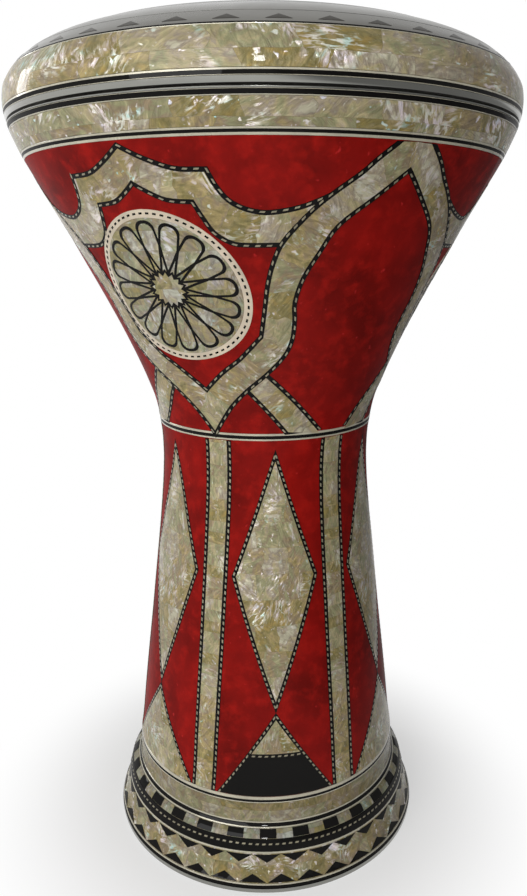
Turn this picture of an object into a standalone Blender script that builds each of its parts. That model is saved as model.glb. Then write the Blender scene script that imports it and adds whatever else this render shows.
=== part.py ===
# Goblet drum: cast aluminium shell and tension ring, film head, hidden tuning screws,
# and a shell-chip inlay laid in shallow pockets. Metres, +Z up, foot on the ground at the origin,
# front facing -Y.
import math

import bmesh
import bpy

for old in list(bpy.data.objects):
    bpy.data.objects.remove(old, do_unlink=True)

# Round resolution shared by every turned piece, so seated pieces have matching facets
SEGMENTS = 48
SCREW_SEGMENTS = 12
BEND_STEPS = 3

# Heights of the body
SHOULDER_HEIGHT = 0.0290
FOOT_HEIGHT = 0.0350
NECK_HEIGHT = 0.2440
WAIST_JOINT_HEIGHT = 0.2630
SHELL_HEIGHT = 0.4248
RING_GAP = 0.0012
RING_HEIGHT = 0.0374

# Outside radii of the finished body
FOOT_RADIUS = 0.0992
SHOULDER_RADIUS = 0.0912
STEM_RADIUS = 0.0856
NECK_RADIUS = 0.0630
RIM_RADIUS = 0.1389

# The ring's outside, measured out from the shell's rim, and its crown, in from the ring
RING_STEP = 0.0003
RING_SWELL = 0.0012
CROWN_REACH = 0.0311

# Outline between those sizes, as (part of the height, part of the radius change)
FOOT_SHAPE = [(0.0, 0.0), (0.41, 0.46), (1.0, 1.0)]
COVE_SHAPE = [(0.58, 0.34), (1.0, 1.0)]
STEM_SHAPE = [(0.244, 0.252), (0.600, 0.653), (0.933, 0.978), (1.0, 1.0)]
BOWL_SHAPE = [(0.089, 0.012), (0.171, 0.047), (0.266, 0.128), (0.404, 0.273),
              (0.620, 0.535), (0.913, 0.914), (1.0, 1.0)]
RING_LOW_SHAPE = [(0.0, 0.0), (0.24, 1.0)]
RING_HIGH_SHAPE = [(0.455, 0.045), (0.642, 0.199), (0.802, 0.437), (0.882, 0.617), (0.963, 0.897)]

# Casting and inlay thicknesses
WALL_THICKNESS = 0.0040
INLAY_THICKNESS = 0.0018
STRAP_THICKNESS = 0.0007
SEAT_GAP = 0.0003

# Bare metal lips that hold the inlay
FOOT_LIP_HEIGHT = 0.0025
RIM_LIP_HEIGHT = 0.0007
RING_LIP_HEIGHT = 0.0023

# Height taken by each inlay band: the foot's from the ground up
FOOT_EDGE_WIDTH = 0.0031
ZIGZAG_WIDTH = 0.0166
ROPE_WIDTH = 0.0076
CHECKER_WIDTH = 0.0042
STEP_LINE_WIDTH = 0.0032
FOOT_PEARL_WIDTH = 0.0118
STEM_LINE_WIDTH = 0.0040

# The neck's, down from and up to the waist joint, and the rim's from the top down
NECK_LINE_BELOW = 0.0018
NECK_LINE_ABOVE = 0.0023
BOWL_LINE_WIDTH = 0.0032
RIM_PEARL_WIDTH = 0.0112
RIM_LINE_WIDTH = 0.0024

# The ring's, from its lip up
RING_LINE_WIDTH = 0.0028
RING_PEARL_WIDTH = 0.0169
SAWTOOTH_WIDTH = 0.0065

# Collar, head and counter-hoop, from the crown inwards
LIP_BEVEL = 0.0018
LIP_OVER_HOOP = 0.00255
HOOP_WIDTH = 0.0052
HOOP_HEIGHT = 0.0062
COLLAR_WALL = 0.0045
BEARING_ROUND = 0.0030
HEAD_DROP = 0.0030
HEAD_THICKNESS = 0.00025
LIP_THICKNESS = 0.0079
CHAMBER_CLEARANCE = 0.00115

# Tuning screws, M6 socket head, and their washers
SCREW_COUNT = 8
SCREW_OFFSET = 0.0073
SCREW_TURN = 22.5
SHANK_RADIUS = 0.0030
SHANK_LENGTH = 0.0300
HEAD_RADIUS = 0.0050
HEAD_HEIGHT = 0.0060
SOCKET_FLATS = 0.0050
SOCKET_DEPTH = 0.0030
WASHER_RADIUS = 0.0060
WASHER_THICKNESS = 0.0016
HOLE_CLEARANCE = 0.0004
BLIND_HOLE_DEPTH = 0.0208
FLANGE_THICKNESS = 0.0080

# Inlay figures: three medallion cells alternate with three pointed arches
CELLS = 3
STEM_PANELS = 6
PATTERN_TURN = -24.8
PATTERN_LEAN = -4.5
STEM_TURN = 5.0
MEDALLION_GAP = 0.0018
MEDALLION_SIDES = 32
ROOM_STEPS = 6
MEDALLION_LEVEL = 0.542
MEDALLION_TURN = -0.6
STRAP_WIDTH = 0.0160
LOZENGE_HALF_WIDTH = 0.0245
LOZENGE_BASE = 0.250
LOZENGE_MIDDLE = 0.625
LOZENGE_TOP = 0.975
TRIANGLE_HALF_WIDTH = 0.0345
TRIANGLE_TOP = 0.235
PANEL_TOP = 0.118
FIGURE_GAP = 0.0006

# Half of one strapwork cell, as (degrees from the medallion axis, part of the field height)
STRAP_UPPER = [(0.0, 0.984), (3.8, 0.953), (8.6, 0.924), (12.1, 0.913), (17.2, 0.911), (18.5, 0.866),
               (20.6, 0.826), (24.0, 0.800), (28.8, 0.788), (35.0, 0.800), (39.5, 0.820),
               (44.3, 0.864), (48.8, 0.908), (52.0, 0.952), (55.4, 0.994), (60.0, 0.994)]
STRAP_LOWER = [(60.0, 0.933), (53.2, 0.850), (45.1, 0.760), (41.1, 0.676), (37.2, 0.589), (35.2, 0.505),
               (34.9, 0.372), (32.2, 0.312), (25.7, 0.245), (52.3, 0.004), (34.6, 0.004), (17.4, 0.181),
               (10.0, 0.118), (4.0, 0.054), (0.0, 0.006)]
STRAP_CELL = [(0.0, 0.171), (1.8, 0.184), (17.2, 0.301), (25.3, 0.384), (26.9, 0.478), (28.2, 0.567),
              (29.9, 0.639), (31.6, 0.698), (24.1, 0.697), (20.0, 0.704), (16.4, 0.735), (14.4, 0.783),
              (13.0, 0.827), (7.1, 0.834), (2.7, 0.862), (0.0, 0.886)]

# Values that follow from the sizes above
POCKET_DEPTH = INLAY_THICKNESS + SEAT_GAP
INNER_DEPTH = POCKET_DEPTH + WALL_THICKNESS
FIELD_DEPTH = STRAP_THICKNESS + SEAT_GAP
RING_BASE_RADIUS = RIM_RADIUS + RING_STEP
RING_RADIUS = RING_BASE_RADIUS + RING_SWELL
RING_CROWN_RADIUS = RING_RADIUS - CROWN_REACH
LIP_RADIUS = RING_CROWN_RADIUS - LIP_BEVEL
HOOP_OUTER_RADIUS = LIP_RADIUS + LIP_OVER_HOOP
HOOP_INNER_RADIUS = HOOP_OUTER_RADIUS - HOOP_WIDTH
HEAD_OUTER_RADIUS = HOOP_INNER_RADIUS - SEAT_GAP
COLLAR_OUTER_RADIUS = HEAD_OUTER_RADIUS - HEAD_THICKNESS - SEAT_GAP
COLLAR_INNER_RADIUS = COLLAR_OUTER_RADIUS - COLLAR_WALL
CHAMBER_RADIUS = HOOP_OUTER_RADIUS + CHAMBER_CLEARANCE
SCREW_CIRCLE = CHAMBER_RADIUS + SCREW_OFFSET
RING_BASE = SHELL_HEIGHT + RING_GAP
TOTAL_HEIGHT = RING_BASE + RING_HEIGHT
ZIGZAG_BASE = FOOT_LIP_HEIGHT + FOOT_EDGE_WIDTH
ROPE_BASE = ZIGZAG_BASE + ZIGZAG_WIDTH
CHECKER_BASE = ROPE_BASE + ROPE_WIDTH
STEP_LINE_BASE = CHECKER_BASE + CHECKER_WIDTH
FOOT_PEARL_BASE = STEP_LINE_BASE + STEP_LINE_WIDTH
STEM_LINE_BASE = FOOT_PEARL_BASE + FOOT_PEARL_WIDTH
STEM_FIELD_BASE = STEM_LINE_BASE + STEM_LINE_WIDTH
NECK_LINE_BASE = WAIST_JOINT_HEIGHT - NECK_LINE_BELOW
BOWL_FIELD_BASE = WAIST_JOINT_HEIGHT + NECK_LINE_ABOVE
RIM_LINE_BASE = SHELL_HEIGHT - RIM_LIP_HEIGHT - RIM_LINE_WIDTH
RIM_PEARL_BASE = RIM_LINE_BASE - RIM_PEARL_WIDTH
BOWL_LINE_BASE = RIM_PEARL_BASE - BOWL_LINE_WIDTH
RING_PEARL_BASE = RING_BASE + RING_LIP_HEIGHT + RING_LINE_WIDTH
SAWTOOTH_BASE = RING_PEARL_BASE + RING_PEARL_WIDTH
SAWTOOTH_TOP = SAWTOOTH_BASE + SAWTOOTH_WIDTH
HEAD_TOP = TOTAL_HEIGHT - HEAD_DROP
HEAD_UNDERSIDE = HEAD_TOP - HEAD_THICKNESS
BEARING_TOP = HEAD_UNDERSIDE - SEAT_GAP
BEARING_CENTRE = COLLAR_OUTER_RADIUS - BEARING_ROUND
LIP_UNDERSIDE = TOTAL_HEIGHT - LIP_THICKNESS
HOOP_TOP = LIP_UNDERSIDE - SEAT_GAP
HOOP_BASE = HOOP_TOP - HOOP_HEIGHT
FLANGE_UNDERSIDE = SHELL_HEIGHT - FLANGE_THICKNESS
WASHER_TOP = FLANGE_UNDERSIDE - SEAT_GAP
SCREW_HEAD_TOP = WASHER_TOP - WASHER_THICKNESS - SEAT_GAP
HOLE_RADIUS = SHANK_RADIUS + HOLE_CLEARANCE
HOLE_TURN = math.pi / SCREW_SEGMENTS
PITCH_ANGLE = 360.0 / SEGMENTS


def material(name, colour, metallic, roughness):
    made = bpy.data.materials.new(name)
    made.use_nodes = True
    shader = made.node_tree.nodes["Principled BSDF"]
    shader.inputs["Base Color"].default_value = (*colour, 1.0)
    shader.inputs["Metallic"].default_value = metallic
    shader.inputs["Roughness"].default_value = roughness
    made.diffuse_color = (*colour, 1.0)
    return made


ALUMINIUM = material("cast_aluminium", (0.62, 0.62, 0.60), 1.0, 0.35)
STEEL = material("zinc_steel", (0.55, 0.55, 0.56), 1.0, 0.30)
FILM = material("film", (0.86, 0.86, 0.84), 0.0, 0.45)
RED = material("red_inlay", (0.36, 0.012, 0.015), 0.0, 0.15)
PEARL = material("pearl_inlay", (0.48, 0.43, 0.31), 0.0, 0.18)
BLACK = material("black_filler", (0.012, 0.011, 0.010), 0.0, 0.20)


def span(z0, r0, z1, r1, shape):
    return [(r0 + (r1 - r0) * s, z0 + (z1 - z0) * t) for t, s in shape]


# Finished outline of the shell and of the ring, from the bottom up
SHELL_LINE = (span(0.0, FOOT_RADIUS, SHOULDER_HEIGHT, SHOULDER_RADIUS, FOOT_SHAPE)
              + span(SHOULDER_HEIGHT, SHOULDER_RADIUS, FOOT_HEIGHT, STEM_RADIUS, COVE_SHAPE)
              + span(FOOT_HEIGHT, STEM_RADIUS, NECK_HEIGHT, NECK_RADIUS, STEM_SHAPE)
              + span(NECK_HEIGHT, NECK_RADIUS, SHELL_HEIGHT, RIM_RADIUS, BOWL_SHAPE))
RING_LINE = (span(RING_BASE, RING_BASE_RADIUS, TOTAL_HEIGHT, RING_RADIUS, RING_LOW_SHAPE)
             + span(RING_BASE, RING_RADIUS, TOTAL_HEIGHT, RING_CROWN_RADIUS, RING_HIGH_SHAPE))


def offset_line(line, depth):
    """The outline moved inward by depth, one point for each of its own points."""
    normals = []
    for (r0, z0), (r1, z1) in zip(line, line[1:]):
        length = math.hypot(r1 - r0, z1 - z0)
        normals.append(((z1 - z0) / length, -(r1 - r0) / length))
    moved = []
    for i, (r, z) in enumerate(line):
        before = normals[max(i - 1, 0)]
        after = normals[min(i, len(normals) - 1)]
        mx = before[0] + after[0]
        mz = before[1] + after[1]
        reach = math.hypot(mx, mz)
        mx /= reach
        mz /= reach
        step = depth / (mx * before[0] + mz * before[1])
        moved.append((r - mx * step, z - mz * step))
    return moved


def at_height(line, z, depth=0.0):
    """The point under the finished outline's height z, at the given depth."""
    moved = offset_line(line, depth)
    for i in range(len(line) - 1):
        if z <= line[i + 1][1] or i == len(line) - 2:
            part = (z - line[i][1]) / (line[i + 1][1] - line[i][1])
            (r0, z0), (r1, z1) = moved[i], moved[i + 1]
            return (r0 + (r1 - r0) * part, z0 + (z1 - z0) * part)


def run(line, low, high, depth=0.0):
    """Points of the outline from low to high, at the given depth."""
    inner = [z for _, z in line if low + 1e-6 < z < high - 1e-6]
    return [at_height(line, z, depth) for z in [low] + inner + [high]]


def radius_on(curve, z):
    for (r0, z0), (r1, z1) in zip(curve, curve[1:]):
        if z0 <= z <= z1:
            return r0 + (r1 - r0) * (z - z0) / (z1 - z0)
    return curve[-1][0]


def finish(obj, colour):
    bpy.context.view_layer.objects.active = obj
    for modifier in list(obj.modifiers):
        bpy.ops.object.modifier_apply(modifier=modifier.name)
    mesh = obj.data
    mesh.materials.clear()
    mesh.materials.append(colour)
    mesh.polygons.foreach_set("use_smooth", [True] * len(mesh.polygons))
    mesh.set_sharp_from_angle(angle=math.radians(28.0))
    return obj


def turned(name, loop, colour, segments=SEGMENTS, closed=True, keep=False):
    """A turned piece: the profile runs down its outer side and back up its inner side."""
    mesh = bpy.data.meshes.new(name)
    edges = [(i, i + 1) for i in range(len(loop) - 1)]
    if closed:
        edges.append((len(loop) - 1, 0))
    mesh.from_pydata([(r, 0.0, z) for r, z in loop], edges, [])
    obj = bpy.data.objects.new(name, mesh)
    bpy.context.scene.collection.objects.link(obj)
    screw = obj.modifiers.new("turn", "SCREW")
    screw.axis = "Z"
    screw.steps = segments
    screw.render_steps = segments
    screw.use_merge_vertices = True
    screw.merge_threshold = 0.00002
    screw.use_normal_calculate = False
    if not keep:
        finish(obj, colour)
    return obj


def band(name, line, low, high, colour, outer=0.0, inner=INLAY_THICKNESS):
    loop = run(line, low, high, outer)[::-1] + run(line, low, high, inner)
    return turned(name, loop, colour)


CUTTERS = bpy.data.collections.new("cutters")
bpy.context.scene.collection.children.link(CUTTERS)
CUTTERS.hide_render = True


def cutter(name, radius, low, high, x, y, vertices, turn):
    bpy.ops.mesh.primitive_cylinder_add(vertices=vertices, radius=radius, depth=high - low,
                                        location=(x, y, (low + high) / 2.0), rotation=(0.0, 0.0, turn))
    obj = bpy.context.active_object
    obj.name = name
    for home in list(obj.users_collection):
        home.objects.unlink(obj)
    CUTTERS.objects.link(obj)
    obj.display_type = "WIRE"
    obj.hide_render = True
    return obj


def cut(obj, tools):
    for tool in tools:
        hole = obj.modifiers.new("hole", "BOOLEAN")
        hole.operation = "DIFFERENCE"
        hole.solver = "EXACT"
        hole.object = tool


def screw_places():
    for k in range(SCREW_COUNT):
        angle = math.radians(SCREW_TURN + 360.0 * k / SCREW_COUNT)
        yield k + 1, SCREW_CIRCLE * math.cos(angle), SCREW_CIRCLE * math.sin(angle), angle


# Shell: cast in two parts that meet butted at the waist, under the neck line
rim_lip_base = SHELL_HEIGHT - RIM_LIP_HEIGHT
inner_line = offset_line(SHELL_LINE, INNER_DEPTH)
stem_loop = run(SHELL_LINE, FOOT_LIP_HEIGHT, WAIST_JOINT_HEIGHT, POCKET_DEPTH)[::-1]
stem_loop += [at_height(SHELL_LINE, FOOT_LIP_HEIGHT), (FOOT_RADIUS, 0.0), (inner_line[0][0], 0.0)]
stem_loop += run(SHELL_LINE, SHELL_LINE[1][1], WAIST_JOINT_HEIGHT, INNER_DEPTH)
turned("stem_casting", stem_loop, ALUMINIUM)

bowl_loop = [at_height(SHELL_LINE, SHELL_HEIGHT), at_height(SHELL_LINE, rim_lip_base)]
bowl_loop += run(SHELL_LINE, WAIST_JOINT_HEIGHT + SEAT_GAP, rim_lip_base, POCKET_DEPTH)[::-1]
bowl_loop += [p for p in run(SHELL_LINE, WAIST_JOINT_HEIGHT + SEAT_GAP, SHELL_HEIGHT, INNER_DEPTH)
              if p[1] < FLANGE_UNDERSIDE - 0.001]
bowl_loop += [(radius_on(inner_line, FLANGE_UNDERSIDE), FLANGE_UNDERSIDE), (COLLAR_INNER_RADIUS, FLANGE_UNDERSIDE)]
bowl_loop.append((COLLAR_INNER_RADIUS, BEARING_TOP - BEARING_ROUND * 0.4))
for step in range(BEND_STEPS + 1):
    bend = math.radians(90.0 - 90.0 * step / BEND_STEPS)
    bowl_loop.append((BEARING_CENTRE + BEARING_ROUND * math.cos(bend),
                      BEARING_TOP - BEARING_ROUND * (1.0 - math.sin(bend))))
bowl_loop.append((COLLAR_OUTER_RADIUS, SHELL_HEIGHT))
bowl = turned("bowl_casting", bowl_loop, ALUMINIUM, keep=True)
cut(bowl, [cutter("flange_hole_%d" % k, HOLE_RADIUS, FLANGE_UNDERSIDE - 0.002, SHELL_HEIGHT + 0.002,
                  x, y, SCREW_SEGMENTS, a + HOLE_TURN) for k, x, y, a in screw_places()])
finish(bowl, ALUMINIUM)

# Tension ring: rounded casting over the counter-hoop, drilled from below for the screws
ring_lip_top = RING_BASE + RING_LIP_HEIGHT
ring_loop = [(LIP_RADIUS, LIP_UNDERSIDE), (LIP_RADIUS, TOTAL_HEIGHT - 0.0024),
             (LIP_RADIUS + 0.0005, TOTAL_HEIGHT - 0.0007), (RING_CROWN_RADIUS, TOTAL_HEIGHT),
             (RING_CROWN_RADIUS + 0.0016, TOTAL_HEIGHT - 0.0005)]
ring_loop += run(RING_LINE, SAWTOOTH_TOP + SEAT_GAP, RING_LINE[-1][1])[::-1]
ring_loop += run(RING_LINE, ring_lip_top, SAWTOOTH_TOP + SEAT_GAP, POCKET_DEPTH)[::-1]
ring_loop += [at_height(RING_LINE, ring_lip_top), at_height(RING_LINE, RING_BASE)]
ring_loop += [(CHAMBER_RADIUS, RING_BASE), (CHAMBER_RADIUS, LIP_UNDERSIDE)]
ring = turned("tension_ring", ring_loop, ALUMINIUM, keep=True)
cut(ring, [cutter("ring_hole_%d" % k, HOLE_RADIUS, RING_BASE - 0.002, RING_BASE + BLIND_HOLE_DEPTH,
                  x, y, SCREW_SEGMENTS, a + HOLE_TURN) for k, x, y, a in screw_places()])
finish(ring, ALUMINIUM)

# Film head, drawn over the bearing edge and down inside the counter-hoop
head_loop = [(0.0, HEAD_TOP)]
for step in range(BEND_STEPS + 1):
    bend = math.radians(90.0 - 90.0 * step / BEND_STEPS)
    reach = HEAD_OUTER_RADIUS - BEARING_CENTRE
    head_loop.append((BEARING_CENTRE + reach * math.cos(bend), HEAD_TOP - reach * (1.0 - math.sin(bend))))
head_loop += [(HEAD_OUTER_RADIUS, HOOP_BASE), (HEAD_OUTER_RADIUS - HEAD_THICKNESS, HOOP_BASE)]
for step in range(BEND_STEPS + 1):
    bend = math.radians(90.0 * step / BEND_STEPS)
    reach = HEAD_OUTER_RADIUS - HEAD_THICKNESS - BEARING_CENTRE
    head_loop.append((BEARING_CENTRE + reach * math.cos(bend), HEAD_UNDERSIDE - reach * (1.0 - math.sin(bend))))
head_loop.append((0.0, HEAD_UNDERSIDE))
turned("drumhead", head_loop, FILM, closed=False)

# Counter-hoop under the ring's lip
turned("counter_hoop", [(HOOP_OUTER_RADIUS, HOOP_TOP), (HOOP_OUTER_RADIUS, HOOP_BASE),
                        (HOOP_INNER_RADIUS, HOOP_BASE), (HOOP_INNER_RADIUS, HOOP_TOP)], ALUMINIUM)

# Tuning screws and washers
for k, x, y, a in screw_places():
    low = SCREW_HEAD_TOP - HEAD_HEIGHT
    tip = SCREW_HEAD_TOP + SHANK_LENGTH
    body = turned("tension_screw_%d" % k,
                  [(0.0, tip), (SHANK_RADIUS, tip), (SHANK_RADIUS, SCREW_HEAD_TOP), (HEAD_RADIUS, SCREW_HEAD_TOP),
                   (HEAD_RADIUS, low), (0.0, low)], STEEL, SCREW_SEGMENTS, closed=False, keep=True)
    body.location = (x, y, 0.0)
    body.rotation_euler = (0.0, 0.0, a)
    cut(body, [cutter("socket_%d" % k, SOCKET_FLATS / math.sqrt(3.0), low - 0.001, low + SOCKET_DEPTH,
                      x, y, 6, a)])
    finish(body, STEEL)
    washer = turned("washer_%d" % k,
                    [(WASHER_RADIUS, WASHER_TOP), (WASHER_RADIUS, WASHER_TOP - WASHER_THICKNESS),
                     (HOLE_RADIUS, WASHER_TOP - WASHER_THICKNESS), (HOLE_RADIUS, WASHER_TOP)],
                    STEEL, SCREW_SEGMENTS)
    washer.location = (x, y, 0.0)
    washer.rotation_euler = (0.0, 0.0, a)

# Inlay bands in the shell's pocket, from the foot up
band("foot_edge_line", SHELL_LINE, FOOT_LIP_HEIGHT + SEAT_GAP, ZIGZAG_BASE - SEAT_GAP, BLACK)
band("foot_zigzag_band", SHELL_LINE, ZIGZAG_BASE, ROPE_BASE - SEAT_GAP, PEARL)
band("foot_rope_band", SHELL_LINE, ROPE_BASE, CHECKER_BASE - SEAT_GAP, BLACK)
band("foot_checker_band", SHELL_LINE, CHECKER_BASE, STEP_LINE_BASE - SEAT_GAP, PEARL)
band("foot_step_line", SHELL_LINE, STEP_LINE_BASE, FOOT_PEARL_BASE - SEAT_GAP, BLACK)
band("foot_pearl_band", SHELL_LINE, FOOT_PEARL_BASE, STEM_LINE_BASE - SEAT_GAP, PEARL)
band("stem_base_line", SHELL_LINE, STEM_LINE_BASE, STEM_FIELD_BASE - SEAT_GAP, BLACK)
band("stem_red_field", SHELL_LINE, STEM_FIELD_BASE, NECK_LINE_BASE - SEAT_GAP, RED, outer=FIELD_DEPTH)
band("neck_line", SHELL_LINE, NECK_LINE_BASE, BOWL_FIELD_BASE - SEAT_GAP, BLACK)
band("bowl_red_field", SHELL_LINE, BOWL_FIELD_BASE, BOWL_LINE_BASE - SEAT_GAP, RED, outer=FIELD_DEPTH)
band("bowl_top_line", SHELL_LINE, BOWL_LINE_BASE, RIM_PEARL_BASE - SEAT_GAP, BLACK)
band("rim_pearl_band", SHELL_LINE, RIM_PEARL_BASE, RIM_LINE_BASE - SEAT_GAP, PEARL)
band("rim_line", SHELL_LINE, RIM_LINE_BASE, rim_lip_base - SEAT_GAP, BLACK)

# Inlay bands in the ring's pocket
band("ring_base_line", RING_LINE, ring_lip_top + SEAT_GAP, RING_PEARL_BASE - SEAT_GAP, BLACK)
band("ring_pearl_band", RING_LINE, RING_PEARL_BASE, SAWTOOTH_BASE - SEAT_GAP, PEARL)
band("ring_sawtooth_band", RING_LINE, SAWTOOTH_BASE, SAWTOOTH_TOP, BLACK)

# Inlay figures: a flat outline is laid on the outline's own facets and given its thickness
FLAT_SCALE = 0.1


def figure(name, outlines, colour):
    """outlines: loops of (degrees round, height). Loops that share a side become one piece."""
    bm = bmesh.new()
    for outline in outlines:
        points = [bm.verts.new((math.radians(p) * FLAT_SCALE, z, 0.0)) for p, z in outline]
        sides = [bm.edges.new((points[i - 1], points[i])) for i in range(len(points))]
        bmesh.ops.triangle_fill(bm, use_beauty=True, use_dissolve=False, edges=sides)
    bmesh.ops.remove_doubles(bm, verts=bm.verts[:], dist=1e-6)
    lows = [p for outline in outlines for p, _ in outline]
    first = math.ceil(min(lows) / PITCH_ANGLE)
    last = math.floor(max(lows) / PITCH_ANGLE)
    for k in range(first, last + 1):
        place = (math.radians(k * PITCH_ANGLE) * FLAT_SCALE, 0.0, 0.0)
        bmesh.ops.bisect_plane(bm, geom=bm.verts[:] + bm.edges[:] + bm.faces[:], dist=1e-7,
                               plane_co=place, plane_no=(1.0, 0.0, 0.0))
    for _, z in SHELL_LINE:
        bmesh.ops.bisect_plane(bm, geom=bm.verts[:] + bm.edges[:] + bm.faces[:], dist=1e-7,
                               plane_co=(0.0, z, 0.0), plane_no=(0.0, 1.0, 0.0))
    for face in bm.faces:
        if face.normal.z < 0.0:
            face.normal_flip()
    for vert in bm.verts:
        turn = vert.co.x / FLAT_SCALE
        slot = math.radians(PITCH_ANGLE)
        middle = (math.floor(turn / slot + 1e-6) + 0.5) * slot
        radius, height = at_height(SHELL_LINE, vert.co.y)
        flat = radius * math.cos(slot / 2.0) / math.cos(turn - middle)
        if abs(turn / slot - round(turn / slot)) < 1e-5:
            flat = radius
        vert.co = (flat * math.sin(turn), -flat * math.cos(turn), height)
    bmesh.ops.remove_doubles(bm, verts=bm.verts[:], dist=2e-6)
    bmesh.ops.dissolve_limit(bm, angle_limit=math.radians(0.4), verts=bm.verts[:], edges=bm.edges[:])
    mesh = bpy.data.meshes.new(name)
    bm.to_mesh(mesh)
    bm.free()
    obj = bpy.data.objects.new(name, mesh)
    bpy.context.scene.collection.objects.link(obj)
    skin = obj.modifiers.new("thickness", "SOLIDIFY")
    skin.thickness = STRAP_THICKNESS
    skin.offset = -1.0
    skin.use_even_offset = True
    return finish(obj, colour)


field_low = BOWL_FIELD_BASE
field_high = BOWL_LINE_BASE - SEAT_GAP
stem_low = STEM_FIELD_BASE
stem_high = NECK_LINE_BASE - SEAT_GAP


def on_bowl(axis, degrees, level):
    return (PATTERN_TURN + axis + degrees + PATTERN_LEAN * level, field_low + (field_high - field_low) * level)


half = STRAP_UPPER + STRAP_LOWER + STRAP_CELL
straps = []
for cell in range(CELLS):
    for side in (1.0, -1.0):
        straps.append([on_bowl(360.0 / CELLS * cell, side * degrees, level) for degrees, level in half])
figure("bowl_strapwork", straps, PEARL)


def slope_between(low, high):
    """Metres along the outline for each metre of height."""
    (r0, z0), (r1, z1) = at_height(SHELL_LINE, low), at_height(SHELL_LINE, high)
    return math.hypot(r1 - r0, z1 - z0) / (high - low)


def room_in_cell(centre_turn, centre_height):
    """How far the strap's inner side stays from the medallion's centre, along the surface."""
    near = []
    for side in (1.0, -1.0):
        path = [on_bowl(0.0, side * degrees, level) for degrees, level in STRAP_CELL]
        for (t0, z0), (t1, z1) in zip(path, path[1:]):
            for k in range(ROOM_STEPS + 1):
                height = z0 + (z1 - z0) * k / ROOM_STEPS
                turn = t0 + (t1 - t0) * k / ROOM_STEPS - centre_turn
                radius, _ = at_height(SHELL_LINE, height)
                rise = height - centre_height
                if abs(rise) > SEAT_GAP:
                    rise *= slope_between(min(height, centre_height), max(height, centre_height))
                near.append(math.hypot(math.radians(turn) * radius, rise))
    return min(near)


medallion_radius = room_in_cell(*on_bowl(0.0, MEDALLION_TURN, MEDALLION_LEVEL)) - MEDALLION_GAP
for cell in range(CELLS):
    centre_turn, centre_height = on_bowl(360.0 / CELLS * cell, MEDALLION_TURN, MEDALLION_LEVEL)
    slope = slope_between(centre_height - medallion_radius / 2.0, centre_height + medallion_radius / 2.0)
    rim = []
    for k in range(MEDALLION_SIDES):
        around = 2.0 * math.pi * k / MEDALLION_SIDES
        height = centre_height + medallion_radius * math.sin(around) / slope
        radius, _ = at_height(SHELL_LINE, height)
        rim.append((centre_turn + math.degrees(medallion_radius * math.cos(around) / radius), height))
    figure("medallion_%d" % (cell + 1), [rim], PEARL)


def on_stem(axis, across, level):
    height = stem_low + (stem_high - stem_low) * level
    radius, _ = at_height(SHELL_LINE, height)
    return (STEM_TURN + axis + math.degrees(across / radius), height)


for panel in range(STEM_PANELS):
    axis = 360.0 / STEM_PANELS * panel
    strap_axis = axis + 180.0 / STEM_PANELS
    edge = STRAP_WIDTH / 2.0
    levels = [0.0, 0.25, 0.5, 0.75, 1.0]
    figure("stem_strap_%d" % (panel + 1),
           [[on_stem(strap_axis, edge, t) for t in levels] + [on_stem(strap_axis, -edge, t) for t in levels[::-1]]],
           PEARL)
    figure("stem_lozenge_%d" % (panel + 1),
           [[on_stem(axis, 0.0, LOZENGE_BASE), on_stem(axis, LOZENGE_HALF_WIDTH, LOZENGE_MIDDLE),
             on_stem(axis, 0.0, LOZENGE_TOP), on_stem(axis, -LOZENGE_HALF_WIDTH, LOZENGE_MIDDLE)]], PEARL)
    if panel == 0:
        wide = TRIANGLE_HALF_WIDTH * (1.0 - PANEL_TOP / TRIANGLE_TOP)
        gap = FIGURE_GAP / (stem_high - stem_low)
        figure("stem_triangle_1",
               [[on_stem(axis, -wide, PANEL_TOP + gap), on_stem(axis, wide, PANEL_TOP + gap),
                 on_stem(axis, 0.0, TRIANGLE_TOP)]], PEARL)
        figure("name_panel",
               [[on_stem(axis, -TRIANGLE_HALF_WIDTH, 0.0), on_stem(axis, TRIANGLE_HALF_WIDTH, 0.0),
                 on_stem(axis, wide, PANEL_TOP), on_stem(axis, -wide, PANEL_TOP)]], BLACK)
    else:
        figure("stem_triangle_%d" % (panel + 1),
               [[on_stem(axis, -TRIANGLE_HALF_WIDTH, 0.0), on_stem(axis, TRIANGLE_HALF_WIDTH, 0.0),
                 on_stem(axis, 0.0, TRIANGLE_TOP)]], PEARL)
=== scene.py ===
import math

import bpy
from mathutils import Matrix, Vector


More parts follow.
